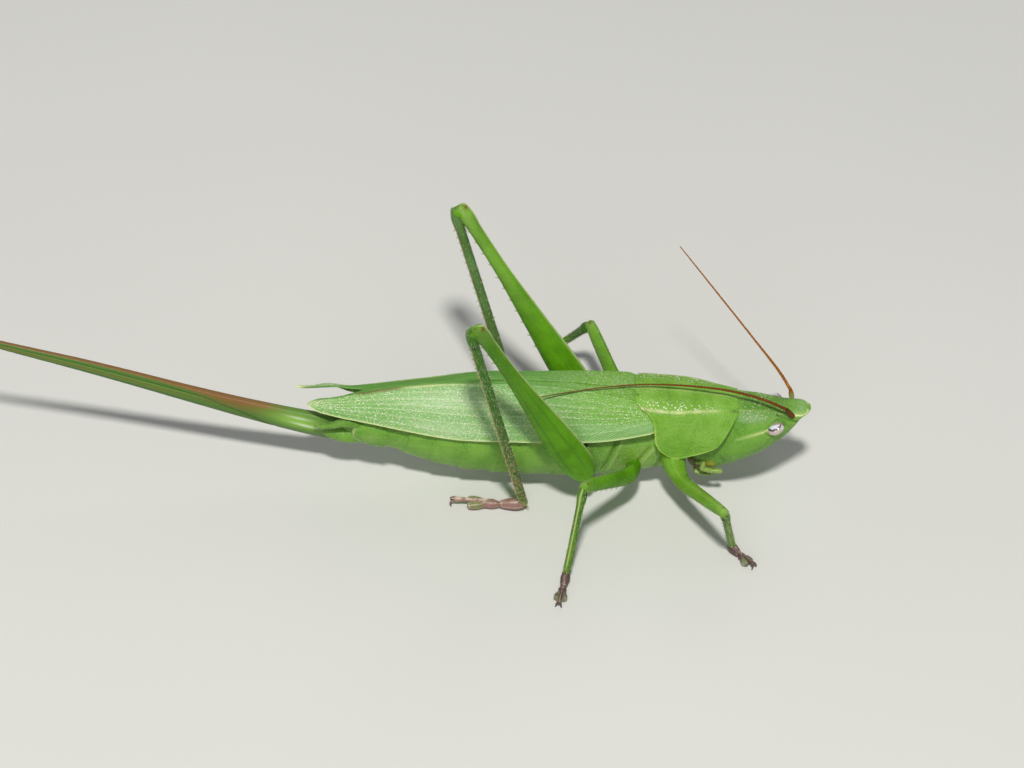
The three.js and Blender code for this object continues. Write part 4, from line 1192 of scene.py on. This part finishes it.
def thigh_grid(name):
    """The thigh. A front or middle one begins inside the body, and bends smoothly round its hip."""
    pair, sign, size, hip, knee, _, bend = leg_parts(name)
    straight = limb_grid(hip, knee, bend, size["femur_depth"], size["femur_thick"], 120, 48, (0.3, 0.24))
    if pair == "hind":
        return straight
    x, y, z = COXA_ROOTS[pair]
    q = np.linspace(1, 0, 60, endpoint=False)[:, None]
    line = q**2 * [x, sign * y, z] + 2 * q * (1 - q) * hip + (1 - q) ** 2 * (hip + 0.3 * (knee - hip))
    share, angle = 0.3 - 0.6 * q, straight[2][:1]
    way = unit(np.gradient(line, axis=0))
    deep = np.zeros_like(line)
    last = bend
    for i in range(len(line) - 1, -1, -1):
        last = unit(last - way[i] * last.dot(way[i]))
        deep[i] = last
    wide = np.cross(way, deep)
    stout = 1 + (0.22 if pair == "fore" else -0.26) * ease(0.2, -0.15, share)
    ring_deep = stout * size["femur_depth"](share) * np.sin(angle)
    ring_wide = stout * size["femur_thick"](share) * np.cos(angle)
    bent = line[:, None] + ring_deep[..., None] * deep[:, None] + ring_wide[..., None] * wide[:, None]
    rest = straight[1][:, 0] > 0.3
    pieces = (bent, np.broadcast_to(share, bent.shape[:2]), np.broadcast_to(angle, bent.shape[:2]))
    return tuple(np.concatenate([part, whole[rest]]) for part, whole in zip(pieces, straight))


def shin_grid(name):
    """The shin, from just below the knee to the ankle."""
    _, _, size, _, knee, ankle, bend = leg_parts(name)
    start = knee + bend * size["offset"]
    if size is FORE_MID:
        ankle = ankle + 0.35 * unit(start - ankle)
    return limb_grid(start, ankle, bend, size["tibia_depth"], size["tibia_thick"], 130, 32, (0.22, 0.2))


def around(angle, degrees, width):
    """A soft stripe along a limb at an angle round it."""
    turn = (np.degrees(angle) - degrees + 180) % 360 - 180
    return bell(turn, 0, width)


def stripes(angle, *each):
    """Soft stripes along a limb, each with its strength, its angle round the limb and its width."""
    return sum(strength * around(angle, degrees, width) for strength, degrees, width in each)


def scaled(shape, scale):
    """A profile multiplied by a number."""
    return lambda share: scale * shape(share)


def leg_node(part, name):
    """The frame's node for a part of the named leg, such as hind_coxa_left."""
    pair, side = name.split("_")
    return "%s_%s_%s" % (pair, part, side)


def add_hip_joint(lump, sign, hip):
    """A hind leg's first joint, from inside the body to the thigh's root."""
    x, y, z = COXA_ROOTS["hind"]
    root = np.array([x, sign * y, z])

    def radius(share):
        return 0.56 - 0.1 * share

    coxa, t, angle = limb_grid(root, hip, [1, 0, 0], radius, radius, 40, 40, (0.2, 0.3))
    marks = {"deep": 0.3 * bell(t, 0.84, 0.05), "cream": 0.12 * ease(0.9, 1.1, t)}
    lump.add_tube(coxa, along=t, round=angle / 6.3, **marks)


def add_knee_plates(lump, name, wide, out):
    """The knee's side plates, which wrap the top of the shin, each drawn out into a short tooth."""
    pair, _, size, hip, knee, _, bend = leg_parts(name)
    way = unit(knee - hip)
    offset = size["offset"]
    deep, thick = size["femur_depth"](0.96), size["femur_thick"](0.96)
    turned = np.stack([unit(way + 0.5 * bend), unit(bend - 0.5 * way), wide], -1)
    radii = (0.26 + 0.34 * offset, 0.5 * deep, 0.3 * thick)
    middle = knee - (0.18 + 0.2 * offset) * way + bend * (0.5 * offset + 0.02)
    for k in (-1, 1):
        lobe = blob_grid(middle + wide * k * thick * 0.62, radii, turned, 24, 28)
        reach = (lobe - knee) @ bend
        marks = {
            "cream": 0.2 * ease(0.7 * offset, 1.3 * offset, reach),
            "deep": 0.45 if k * (1 - out / 90) > 0 else 0,
            "black": 0.9 * ease(0.2, 0.3, reach) if pair == "fore" else 0,
        }
        lump.add_tube(lobe, along=reach, round=0.2, **marks)


def build_thigh(name):
    """A thigh with its ridges and grooves, a hind leg's hip joint, and the knee's side plates."""
    pair, sign, _, hip, knee, _, bend = leg_parts(name)
    grid, t, angle = thigh_grid(name)
    long = np.linalg.norm(knee - hip)
    wide = np.cross(unit(knee - hip), bend)
    out = 0 if wide[1] * sign > 0 else 180
    hind = pair == "hind"
    ridge = (around(angle, 270, 7) + 0.7 * around(angle, 90, 7)) * (1 if hind else 0.4)
    lines = sum(around(angle, out + k, 3.2) for k in ((-28, 24) if hind else (-20,)))
    lines = lines * between(t, 0.06, 0.14, 0.5, 0.75)
    ribs = bell((t * long * 1.7 + 0.7 * np.abs(np.cos(angle))) % 1, 0.5, 0.16)
    ribs = ribs * around(angle, out, 8 if hind else 14) * between(t, 0.1, 0.2, 0.5, 0.7)
    move = 0.035 * ridge - 0.03 * lines - (0.014 * ribs if hind else 0)
    marks = {
        "along": t * long,
        "round": angle / (2 * np.pi),
        "cream": (0.7 if hind else 0.08) * around(angle, 270, 9) * ease(0.02, 0.1, t)
        + 0.1 * ease(0.3, 0.8, t) * around(angle, out + 180, 70) + 0.06 * ease(0.9, 0.97, t),
        "deep": (0.85 if hind else 0.3) * lines + 0.1 * ribs + 0.3 * around(angle, 90, 30)
        + (0.65 if hind else 0) * ease(0.15, 0.8, t) * around(angle, out, 75),
        "brown": 0.85 * around(angle, 305, 24) * bell(t, 1.0, 0.009)
        + 0.7 * around(angle, 30, 16) * bell(t, 1.012, 0.005),
        "rust": 0.3 * around(angle, 270, 5) * between(t, 0.3, 0.5, 0.8, 0.95),
    }
    lump = Lump()
    lump.add_tube(grid + move[..., None] * outward_normals(grid), **clipped(marks, top=None))
    if hind:
        add_hip_joint(lump, sign, hip)
    add_knee_plates(lump, name, wide, out)
    look = finish("thigh_front" if pair == "fore" else "thigh")
    lump.make("thigh_" + name, look, [leg_node("coxa", name), leg_node("femur", name)])


def build_shin(name):
    """A shin with two edges along its upper side, and a front leg's ear below the knee."""
    pair, sign, size, _, knee, ankle, bend = leg_parts(name)
    grid, t, angle = shin_grid(name)
    long = np.linalg.norm(ankle - knee)
    way = unit(ankle - knee - bend * size["offset"])
    out = 0 if np.cross(way, bend)[1] * sign > 0 else 180
    hind = pair == "hind"
    edges = around(angle, 62, 10) + around(angle, 118, 10)
    beads = bell((t * long + 0.1 * np.sin(5 * t * long)) % 0.42, 0.2, 0.09) * between(t, 0.05, 0.12, 0.95, 1)
    red = edges + 0.8 * around(angle, 90, 26) + 0.7 * around(angle, out, 75) * ease(0.35, 0.85, t)
    knee_line = bell(t, 0.075, 0.006) if hind else bell(t, 0.05, 0.014)
    move = 0.03 * edges - 0.03 * around(angle, 90, 8) - 0.02 * around(angle, out, 12)
    marks = {
        "along": t * long,
        "round": angle / (2 * np.pi),
        "deep": 0.5 * around(angle, out, 16) + 0.35 * around(angle, 270, 30)
        + 0.65 * around(angle, out, 70) * ease(0.8, 0.25, t),
        "black": knee_line * around(angle, out, 50),
        "cream": 0.25 * edges + 0.06 * around(angle, out + 180, 70) + 0.35 * ease(0.97, 1.01, t)
        + (0.5 if hind else 0) * beads * around(angle, 100, 26),
        "rust": (0.95 if hind else 0.25) * np.clip(red, 0, 1) * ease(0.04, 0.12, t),
    }
    if pair == "mid":
        marks["cream"] = 0.8 * around(angle, 90 + 0.1 * (out - 90), 9.5) * ease(1, 0.9, t)
    if pair == "fore":
        # The ear, two slits below the knee.
        slit = bell(t, 0.13, 0.035) * (around(angle, 50, 9) + around(angle, 130, 9))
        move = move - 0.07 * slit
        marks["black"] = marks["black"] + slit
    lump = Lump()
    lump.add_tube(grid + move[..., None] * outward_normals(grid), **clipped(marks, top=None))
    lump.make("shin_" + name, finish("shin" if hind else "shin_front"), [leg_node("tibia", name)])


def row_of_spines(lump, grid, t, degrees, places, length, rng, radius, lean=0.7):
    """Spines in a row along a limb at one angle round it, leaning towards its lower end."""
    column = int(round(degrees % 360 / 360 * grid.shape[1])) % grid.shape[1]
    rows = [int(np.argmin(np.abs(t[:, 0] - place))) for place in places]
    roots = grid[rows, column]
    outwards = unit(roots - grid[rows].mean(axis=1))
    way = unit(grid[-8, 0] - grid[8, 0])
    lengths = length * rng.uniform(0.85, 1.15, len(rows))
    spikes(lump, roots - 0.03 * outwards, outwards + lean * way, lengths + 0.03, radius, sides=7)


HIND_SHIN_SPINES = (
    # Angles round the shin, places along it, length in spines, radius, and lean.
    ((58, 122), np.linspace(0.07, 0.97, 34), 1, 0.05, 0.7),
    ((235, 305), np.linspace(0.3, 0.95, 9), 0.8, 0.03, 0.7),
    ((40, 140, 215, 325), [1.0], 1.6, 0.05, 1.6),
)
SHIN_SPINES = (
    ((230, 310), np.linspace(0.3, 0.92, 7), 0.85, 0.028, 0.7),
    ((60, 120, 240, 300), [0.99], 1, 0.035, 1.6),
)


def build_spines():
    """The rows of spines on every shin and thigh, as one piece."""
    rng = np.random.default_rng(sizes().seed)
    long = sizes().spine / MM
    lump = Lump()
    for name in LEGS:
        hind = name.startswith("hind")
        grid, t, _ = shin_grid(name)
        for turns, places, scale, radius, lean in HIND_SHIN_SPINES if hind else SHIN_SPINES:
            for degrees in turns:
                row_of_spines(lump, grid, t, degrees, places, long * scale, rng, radius, lean)
        grid, t, _ = thigh_grid(name)
        places = np.linspace(0.38, 0.9, 11) if hind else np.linspace(0.35, 0.85, 6)
        row_of_spines(lump, grid, t, 80, places, long, rng, 0.045)
        row_of_spines(lump, grid, t, 104, places[1::2], long * 0.8, rng, 0.04)
        for degrees in (20, 160):
            row_of_spines(lump, grid, t, degrees, [0.99], long * 0.7, rng, 0.04, 1.5)
    lump.make("leg_spines", finish("spine"))


# ---------------------------------------------------------------- feet


LOBE_SHAPE = (profile((0, 0.26), (0.7, 0.27), (1, 0.22)), profile((0, 0.22), (0.6, 0.34), (1, 0.28)))
FOOT_JOINTS = (
    # Share of the way to the toe, offset aside and height of each end, then half height and half width.
    (
        (0, 0, 0.62), (0.30, 0, 0.4),
        profile((0, 0.3), (0.3, 0.44), (0.7, 0.38), (1, 0.3)),
        profile((0, 0.3), (0.35, 0.42), (0.75, 0.36), (1, 0.28)),
    ),
    (
        (0.33, 0, 0.34), (0.55, 0, 0.34),
        profile((0, 0.2), (0.45, 0.33), (1, 0.3)),
        profile((0, 0.2), (0.5, 0.36), (1, 0.3)),
    ),
    ((0.53, 0.1, 0.32), (0.74, 0.3, 0.26), *LOBE_SHAPE),
    ((0.53, -0.1, 0.32), (0.74, -0.34, 0.26), *LOBE_SHAPE),
    (
        (0.5, 0, 0.62), (0.93, 0, 0.5),
        profile((0, 0.12), (0.8, 0.16), (1, 0.22)),
        profile((0, 0.12), (0.8, 0.15), (1, 0.2)),
    ),
)
LOBES, LAST_JOINT = (2, 3), 4
CLAW = ((0.9, 0.06, 0.5), (0.96, 0.15, 0.52), (1.0, 0.24, 0.34), (0.98, 0.28, 0.06))


def foot_rim(hind, number, t, angle):
    """Where a joint of the foot is pale: its end, and stripes along its edges."""
    end = bell(t, 1.02, 0.05)
    if not hind:
        edges = ((1, 0, 22), (1, 180, 22)) if number in LOBES else ((0.9, 90, 15),)
        return 0.35 * end + stripes(angle, *edges)
    # A hind foot's last joint is pale along its top: a painted highlight.
    top = ((0.75, 90, 60),) if number == LAST_JOINT else ()
    edges = ((0.3, 90, 30), (0.7, 122, 7), (0.5, 58, 7), (0.6, 180, 9), (0.6, 0, 9))
    return 0.4 * end + stripes(angle, *edges, *top)


def build_foot(name):
    """The foot: two narrow joints, the broad pair of lobes, the thin last joint and its claws."""
    pair, _, size, _, _, ankle, _ = leg_parts(name)
    hind = pair == "hind"
    k = size["foot"] / 0.36
    toe = np.array([*LEGS[name]["toe"], 0.0])
    way = (toe - ankle) * [1, 1, 0]
    across = unit([-way[1], way[0], 0])
    rise = np.array([0, 0, 1.0])

    def at(share, aside, height):
        return ankle * [1, 1, 0] + share * way + aside * k * across + height * k * rise

    lump = Lump()
    for number, ((share, aside, height), end, high, wide) in enumerate(FOOT_JOINTS):
        if number == 0 and not hind:
            share = -0.1
        ends = at(share, aside, height), at(*end)
        grid, t, angle = limb_grid(*ends, rise, scaled(high, k), scaled(wide, k), 34, 32, (0.1, 0.13))
        relief = stripes(angle, (0.02, 60, 12), (0.02, 120, 12), (-0.02, 90, 12))
        grid = grid + relief[..., None] * outward_normals(grid)
        grid[..., 2] = np.maximum(grid[..., 2], 0.0)
        marks = {
            "pad": (number in LOBES) * ease(-0.1, 0.35, t),
            "pale": 0.85 * foot_rim(hind, number, t, angle),
            "black": 0.5 * bell(t, -0.02, 0.05),
        }
        lump.add_tube(grid, **clipped(marks))
    share = np.linspace(0, 1, 26)
    taper = np.linspace(1, 0.12, 26) ** 0.8
    for side in (1, -1):
        line = smooth_path([at(place, aside * side, height) for place, aside, height in CLAW], 26)
        tube = tube_grid(line, 0.11 * k * taper, 10)
        tube[..., 2] = np.maximum(tube[..., 2], 0.0)
        lump.add_tube(tube, black=ease(0.45, 0.85, share)[:, None])
    lump.make("foot_" + name, finish("foot" if hind else "foot_dark"), [leg_node("tarsus", name)])


# ---------------------------------------------------------------- feelers and mouth


def build_feelers():
    """Each feeler's stout first joint, and its ringed thread, which thins towards the tip."""
    stout = profile((0, 0.19), (0.5, 0.18), (1, 0.13))
    full, fine = sizes().feeler_root / MM, sizes().feeler_tip / MM
    for side, points in FEELERS.items():
        right = side == "right"
        lump = Lump()
        ends = np.array(points[0]), np.array(points[1])
        scape, t, _ = limb_grid(*ends, [1, 0, 0], stout, stout, 24, 24, (0.2, 0.12))
        base = 0.3 * ease(1.15, 0.6, t) if right else ease(1.0, 0.2, t)
        lump.add_tube(scape, root=base, black=(0.45 if right else 0.1) + 0.4 * bell(t, 1.0, 0.06))
        length = np.linalg.norm(np.diff(smooth_path(points[1:], 30), axis=0), axis=1).sum()
        count = int(length / 0.045)
        s = np.linspace(0, length, count)
        places = [0, 0.4, 1.2, 0.35 * length, 0.8 * length, length]
        wide = np.interp(s, places, [1.15 * full, 1.1 * full, full, 0.68 * full, 1.4 * fine, fine])
        phase = (s / 0.24) % 1
        wide = wide * (1 + 0.12 * np.sin(np.pi * phase) ** 0.7 - 0.05)
        ring = np.clip(bell(phase, 0.9, 0.16) + bell(phase, -0.1, 0.16), 0, 1)
        marks = {
            "far": ease(7, 15, s),
            "ring": 0.6 * ring + (0 if right else 0.6) * bell(s, 0.5, 0.18),
            "black": 0.5 * bell(phase, 0.12, 0.12) + (0.4 if right else 0) * ease(1.5, 0, s),
        }
        marks = {name: values[:, None] for name, values in clipped(marks).items()}
        lump.add_tube(tube_grid(smooth_path(points[1:], count), wide / 2, 12), **marks)
        look = finish("feeler_near" if right else "feeler_far")
        lump.make("feeler_" + side, look, ["antenna_" + side])


PALPS = (
    # The joints and the half width of the outer palp, then the inner one.
    (((7.0, 1.2, 3.3), (7.5, 1.5, 3.75), (7.4, 1.62, 3.15), (8.1, 1.6, 2.95), (8.75, 1.5, 2.88)), 0.17),
    (((6.95, 0.7, 2.5), (7.1, 1.1, 2.3), (7.7, 1.1, 2.1), (8.2, 1.0, 2.05)), 0.13),
)


def build_palps(side, sign):
    """One side's two palps, whose last joints swell the most."""
    lump = Lump()
    for points, wide in PALPS:
        stops = [np.array([x, sign * y, z]) for x, y, z in points]
        swells = [profile((0, 0.75), (0.75, 1.1), (1, 1.0))] * (len(stops) - 2)
        swells.append(profile((0, 0.7), (0.85, 1.15), (1, 1.0)))
        for a, b, swell in zip(stops, stops[1:], swells):
            radius = scaled(swell, wide)
            part, t, _ = limb_grid(a, b, [0, 0, 1], radius, radius, 16, 20, (0.06, 0.1))
            lump.add_tube(part, pale=0.05 + 0.3 * ease(0.75, 1.1, t), black=0.3 * bell(t, 0.02, 0.08))
    lump.make("feeding_palps_" + side, finish("mouth"), ["palp_" + side])


def build_mouth():
    """The lip, the chin and the two jaws as one piece, and the palps on both sides."""
    lump = Lump()
    lip = blob_grid((7.95, 0, 2.2), (0.9, 0.85, 0.6), pitch(np.radians(25)), 40, 48)
    lip[..., 2] += 0.06 * bell(lip[..., 1], 0, 0.2)
    lump.add_tube(lip, pale=0.4 * bell(lip[..., 2], 2.6, 0.2), black=0.5 * ease(1.75, 1.6, lip[..., 2]))
    level = np.eye(3)
    lump.add_tube(blob_grid((7.1, 0, 2.75), (0.68, 0.78, 0.66), level, 32, 40), brown=0.9)
    for _, sign in SIDES:
        jaw = blob_grid((7.55, sign * 0.72, 2.75), (0.62, 0.5, 0.8), level, 32, 40)
        x, z = jaw[..., 0], jaw[..., 2]
        hinge = 0.8 * spot(x - 7.8, z - 3.2, 0.3)
        lump.add_tube(jaw, black=0.8 * ease(2.5, 2.1, z), brown=ease(7.5, 7.2, x), yellow=hinge)
    lump.make("mouth_parts", finish("mouth"), ["mouthparts"])
    for side, sign in SIDES:
        build_palps(side, sign)


# ---------------------------------------------------------------- tail


def cercus_grid(sign):
    """A tail feeler's tapering tube, and each ring's share of the way to its tip."""
    points = [(-16.6, 0.9, 5.4), (-17.7, 1.15, 5.6), (-18.7, 1.15, 5.25), (-19.7, 0.95, 4.9)]
    line = smooth_path([(x, sign * y, z) for x, y, z in points], 60)
    t = np.linspace(0, 1, 60)
    return tube_grid(line, 0.37 - 0.31 * t**1.5, 20), t


def build_tail():
    """The two tail feelers, and the plate under the tail with its notched rear edge."""
    for side, sign in SIDES:
        grid, t = cercus_grid(sign)
        lump = Lump()
        lump.add_tube(grid, deep=(0.6 - 0.2 * ease(0.6, 1, t))[:, None])
        lump.make("tail_feeler_" + side, finish("tail"), ["cercus_" + side])
    plate = blob_grid((-17.5, 0, 3.98), (1.95, 1.14, 0.8), pitch(np.radians(-7)), 64, 64)
    low = plate[..., 2] - 0.1 * (plate[..., 0] + 17.5)
    plate[..., 2] -= 0.06 * bell(plate[..., 1], 0, 0.14) * ease(3.5, 3.2, low)
    lump = Lump()
    # The plate is darker towards its top, where it lies under the tail feelers: painted shade.
    lump.add_tube(plate, frost=0.5 * ease(3.6, 3.36, low), deep=0.4 * ease(3.42, 3.8, low))
    lump.make("plate_under_tail", finish("tail"), ["subgenital_plate"])


def build_sword():
    """The ovipositor: one blade from the tip to its bulb, creased along the seam of its valves."""
    tip = -46 + 0.35 * (1 - np.cos(np.linspace(0, np.pi / 2, 8)))[:-1]
    x = np.concatenate([tip, np.linspace(-45.65, -15.6, 330)])[:, None]
    angle = (np.arange(64) / 64 * 2 * np.pi)[None]
    level = np.sin(angle)
    point = np.sqrt(np.clip(1 - ((-45.65 - x).clip(0) / 0.37) ** 2, 0.02, 1))
    half, thick = SWORD["half"](x) * point, SWORD["thick"](x) * point
    level = np.sign(level) * np.abs(level) ** 0.9
    seam = SWORD["seam"](x)
    across = np.sign(np.cos(angle)) * np.abs(np.cos(angle)) ** 0.75
    crease = bell((level - seam) * half, 0, 0.05)
    second = bell((level + 0.08) * half, 0, 0.045) * ease(-27, -30, x)
    swell = 1 + 0.16 * bell(x, -19.6, 1.6) * bell(level, -0.1, 0.5)
    y = thick * swell * across * (1 - 0.22 * crease - 0.1 * second)
    z = SWORD["z"](x) + half * level
    grid = np.stack([np.broadcast_to(x, y.shape), y, z], -1)
    rear = ease(-24, -30, x)
    above = ease(-0.04, 0.1, level - seam)
    top = ease(0.0, 0.1, level - 0.84 + 0.16 * bell(x, -25.5, 3.5)) * above
    # The upper of these two pale lines along the blade is a painted highlight.
    pale_lines = 0.28 * bell(level, 0.34, 0.1) + 0.15 * bell(level, -0.1, 0.2)
    marks = {
        "back": top * ease(-21, -24.5, x) + 0.75 * bell(x, -25.2, 2.4) * ease(-0.2, 0.6, level),
        "line": np.clip(0.8 * crease * ease(-20, -24, x) + 0.7 * bell(level, 0.5, 0.06) * rear, 0, 1),
        "pale": np.clip(pale_lines * rear + 0.95 * bell(x, -21.0, 1.9) * bell(level, 0.25, 0.6), 0, 1),
        "glint": 0.85 * bell(x, -20.4, 0.8) * bell(level, 0.12, 0.09)
        + 0.6 * bell(x, -20.8, 0.8) * bell(level, 0.6, 0.08),
        "brown": 0.85 * second + 0.6 * bell((level - 0.14) * half, 0, 0.05) * rear,
        "low": np.clip(ease(-0.35, -0.8, level) * (0.3 + 0.7 * rear), 0, 1),
        "far": 0.55 * ease(-41, -45.8, x),
    }
    lump = Lump()
    lump.add_tube(grid, **{name: np.broadcast_to(v, y.shape) for name, v in marks.items()})
    lump.make("ovipositor_blade", finish("sword"), ["ovipositor_upper", "ovipositor_lower"])


# ---------------------------------------------------------------- hairs


CHEEK_ROW, LAST_RING_ROW = 270, 60  # rows of the skin: where the head begins, where the last ring does


def build_hairs():
    """Short pale hairs on the legs, tail feelers and face. Each hair's patch in the bake map lies at
    its root's place on an unwrap of the limb that it grows on."""
    rng = np.random.default_rng(sizes().seed + 1)
    long = sizes().hair / MM
    beds = []
    for name in LEGS:
        hind = name.startswith("hind")
        thigh, share, _ = thigh_grid(name)
        beds.append((thigh[share[:, 0] > 0.05], 560 if hind else 300, 0.8))
        beds.append((shin_grid(name)[0], 620 if hind else 380, 1.0))
    for sign in (-1, 1):
        beds.append((cercus_grid(sign)[0], 130, 0.8))
    skin = body_skin()[0]
    beds.append((skin[CHEEK_ROW:], 620, 0.55))
    beds.append((skin[:LAST_RING_ROW], 260, 0.6))
    lump = Lump()
    for number, (grid, count, scale) in enumerate(beds):
        rows, cols, _ = grid.shape
        row, col = rng.uniform(3, rows - 4, count), rng.integers(0, cols, count)
        low = row.astype(int)
        part = (row - low)[:, None]
        roots = grid[low, col] * (1 - part) + grid[low + 1, col] * part
        normal = outward_normals(grid)[low, col]
        along = unit(grid[np.minimum(low + 3, rows - 1), col] - grid[low, col])
        ways = normal + 0.7 * along + rng.normal(0, 0.18, (count, 3))
        uv = np.stack([(row / rows), (number + col / cols) / len(beds)], -1)
        lengths = long * scale * rng.uniform(0.6, 1.2, count)
        spikes(lump, roots - 0.01 * normal, ways, lengths, 0.011, uv=uv)
    lump.make("fine_hairs", finish("hair"), bake_map=True)


# ---------------------------------------------------------------- stage


CAMERA = {
    # Angles in degrees, lengths in millimetres.
    "azimuth": -3.215,
    "elevation": 43.502,
    "roll": 4.733,
    "aim": (-6.214, 0, 8.937),
    "distance": 300,
    "lens": 152.93,
}


def camera_matrix():
    """The camera's place and turn in the frame, from its fitted angles."""
    a, e, r = (np.radians(CAMERA[key]) for key in ("azimuth", "elevation", "roll"))
    back = np.array([np.sin(a) * np.cos(e), -np.cos(a) * np.cos(e), np.sin(e)])
    right = np.array([np.cos(a), np.sin(a), 0])
    up = np.cross(back, right)
    columns = [right * np.cos(r) + up * np.sin(r), up * np.cos(r) - right * np.sin(r), back]
    matrix = np.eye(4)
    matrix[:3, :3] = np.stack(columns, -1)
    matrix[:3, 3] = (np.array(CAMERA["aim"]) + SHIFT + back * CAMERA["distance"]) * MM
    return Matrix(matrix.tolist())


def add_light(name, way, distance, size, power, tint):
    """A soft panel light that faces the insect from the given direction."""
    light = bpy.data.lights.new(name, "AREA")
    light.shape, light.size, light.energy, light.color = "DISK", size, power, tint
    lamp = bpy.data.objects.new(name, light)
    aim = (np.array([-4.0, 0, 7]) + SHIFT) * MM
    way = unit(way)
    side = unit(np.cross([0, 0, 1], way))
    matrix = np.eye(4)
    matrix[:3, :3] = np.stack([side, np.cross(way, side), way], -1)
    matrix[:3, 3] = aim + way * distance
    lamp.matrix_world = Matrix(matrix.tolist())
    bpy.context.scene.collection.objects.link(lamp)


def build_stage():
    """The floor, three soft lights, the pale surroundings and the camera."""
    scene = bpy.context.scene
    floor = bpy.data.meshes.new("floor")
    far, low = 3.0, -0.00002
    corners = [(-far, -far, low), (far, -far, low), (far, far, low), (-far, far, low)]
    floor.from_pydata(corners, [], [(0, 1, 2, 3)])
    floor.materials.append(finish("studio_floor"))
    ground = bpy.data.objects.new("studio_floor", floor)
    scene.collection.objects.link(ground)
    add_light("key", (-0.04, -0.47, 0.88), 0.4, 0.036, 1.32, (1.0, 0.98, 0.94))
    add_light("fill", (-0.25, -0.95, 0.42), 0.5, 0.35, 0.4, (1.0, 1.0, 0.96))
    add_light("rim", (0.2, 0.9, 0.8), 0.5, 0.3, 0.25, (1.0, 1.0, 0.98))
    world = bpy.data.worlds.new("studio")
    world.use_nodes = True
    sky = next(n for n in world.node_tree.nodes if n.type == "BACKGROUND")
    sky.inputs["Color"].default_value = (0.93, 0.96, 1.0, 1)
    sky.inputs["Strength"].default_value = 0.18
    scene.world = world
    lens = bpy.data.cameras.new("camera")
    lens.lens, lens.sensor_width = CAMERA["lens"], 36
    lens.clip_start, lens.clip_end = 0.01, 20
    camera = bpy.data.objects.new("camera", lens)
    camera.matrix_world = camera_matrix()
    scene.collection.objects.link(camera)
    scene.camera = camera
    scene.view_settings.view_transform = "Standard"


# ---------------------------------------------------------------- operators and panel


class KATYDID_OT_body(bpy.types.Operator):
    """Make the one skin of the head, thorax and abdomen, and the pronotum over it"""

    bl_idname = "katydid.body"
    bl_label = "Body and Pronotum"

    def execute(self, context):
        build_body()
        build_pronotum()
        return {"FINISHED"}


class KATYDID_OT_eyes(bpy.types.Operator):
    """Make the two eyes"""

    bl_idname = "katydid.eyes"
    bl_label = "Eyes"

    def execute(self, context):
        build_eyes()
        return {"FINISHED"}


class KATYDID_OT_wings(bpy.types.Operator):
    """Make the front wings and the hind wings folded under them"""

    bl_idname = "katydid.wings"
    bl_label = "Wings"

    def execute(self, context):
        build_wings()
        return {"FINISHED"}


class KATYDID_OT_legs(bpy.types.Operator):
    """Make the six legs with their spines"""

    bl_idname = "katydid.legs"
    bl_label = "Legs"

    def execute(self, context):
        for name in LEGS:
            build_thigh(name)
            build_shin(name)
        build_spines()
        return {"FINISHED"}


class KATYDID_OT_feet(bpy.types.Operator):
    """Make the six feet with their pads and claws"""

    bl_idname = "katydid.feet"
    bl_label = "Feet"

    def execute(self, context):
        for name in LEGS:
            build_foot(name)
        return {"FINISHED"}


class KATYDID_OT_feelers(bpy.types.Operator):
    """Make the ringed feelers, the mouthparts and the palps"""

    bl_idname = "katydid.feelers"
    bl_label = "Feelers and Mouth"

    def execute(self, context):
        build_feelers()
        build_mouth()
        return {"FINISHED"}


class KATYDID_OT_tail(bpy.types.Operator):
    """Make the tail feelers, the plate under the tail and the ovipositor"""

    bl_idname = "katydid.tail"
    bl_label = "Tail and Ovipositor"

    def execute(self, context):
        build_tail()
        build_sword()
        return {"FINISHED"}


class KATYDID_OT_hairs(bpy.types.Operator):
    """Make the fine hairs as one joined mesh"""

    bl_idname = "katydid.hairs"
    bl_label = "Hairs"

    def execute(self, context):
        build_hairs()
        return {"FINISHED"}


class KATYDID_OT_stage(bpy.types.Operator):
    """Make the floor, the lights and the camera"""

    bl_idname = "katydid.stage"
    bl_label = "Stage"

    def execute(self, context):
        build_stage()
        return {"FINISHED"}


STEPS = (
    KATYDID_OT_stage, KATYDID_OT_body, KATYDID_OT_eyes, KATYDID_OT_wings, KATYDID_OT_legs,
    KATYDID_OT_feet, KATYDID_OT_feelers, KATYDID_OT_tail, KATYDID_OT_hairs,
)


class KATYDID_PT_panel(bpy.types.Panel):
    """The katydid's steps, sizes and colours"""

    bl_idname = "KATYDID_PT_panel"
    bl_label = "Katydid"
    bl_space_type = "VIEW_3D"
    bl_region_type = "UI"
    bl_category = "Katydid"

    def draw(self, context):
        for step in STEPS:
            self.layout.operator(step.bl_idname)
        for group in (context.scene.katydid_sizes, context.scene.katydid_colours):
            box = self.layout.box()
            for name in group.__annotations__:
                box.prop(group, name)


CLASSES = (KatydidSizes, KatydidColours, *STEPS, KATYDID_PT_panel)


def register():
    """Adds the add-on's classes and the scene's sizes and colours."""
    for each in CLASSES:
        bpy.utils.register_class(each)
    bpy.types.Scene.katydid_sizes = PointerProperty(type=KatydidSizes)
    bpy.types.Scene.katydid_colours = PointerProperty(type=KatydidColours)


def unregister():
    """Takes away the add-on's classes and the scene's sizes and colours."""
    del bpy.types.Scene.katydid_colours
    del bpy.types.Scene.katydid_sizes
    for each in reversed(CLASSES):
        bpy.utils.unregister_class(each)


def main():
    """Makes every piece in order."""
    register()
    for step in STEPS:
        group, action = step.bl_idname.split(".")
        getattr(getattr(bpy.ops, group), action)()


if __name__ == "__main__":
    main()
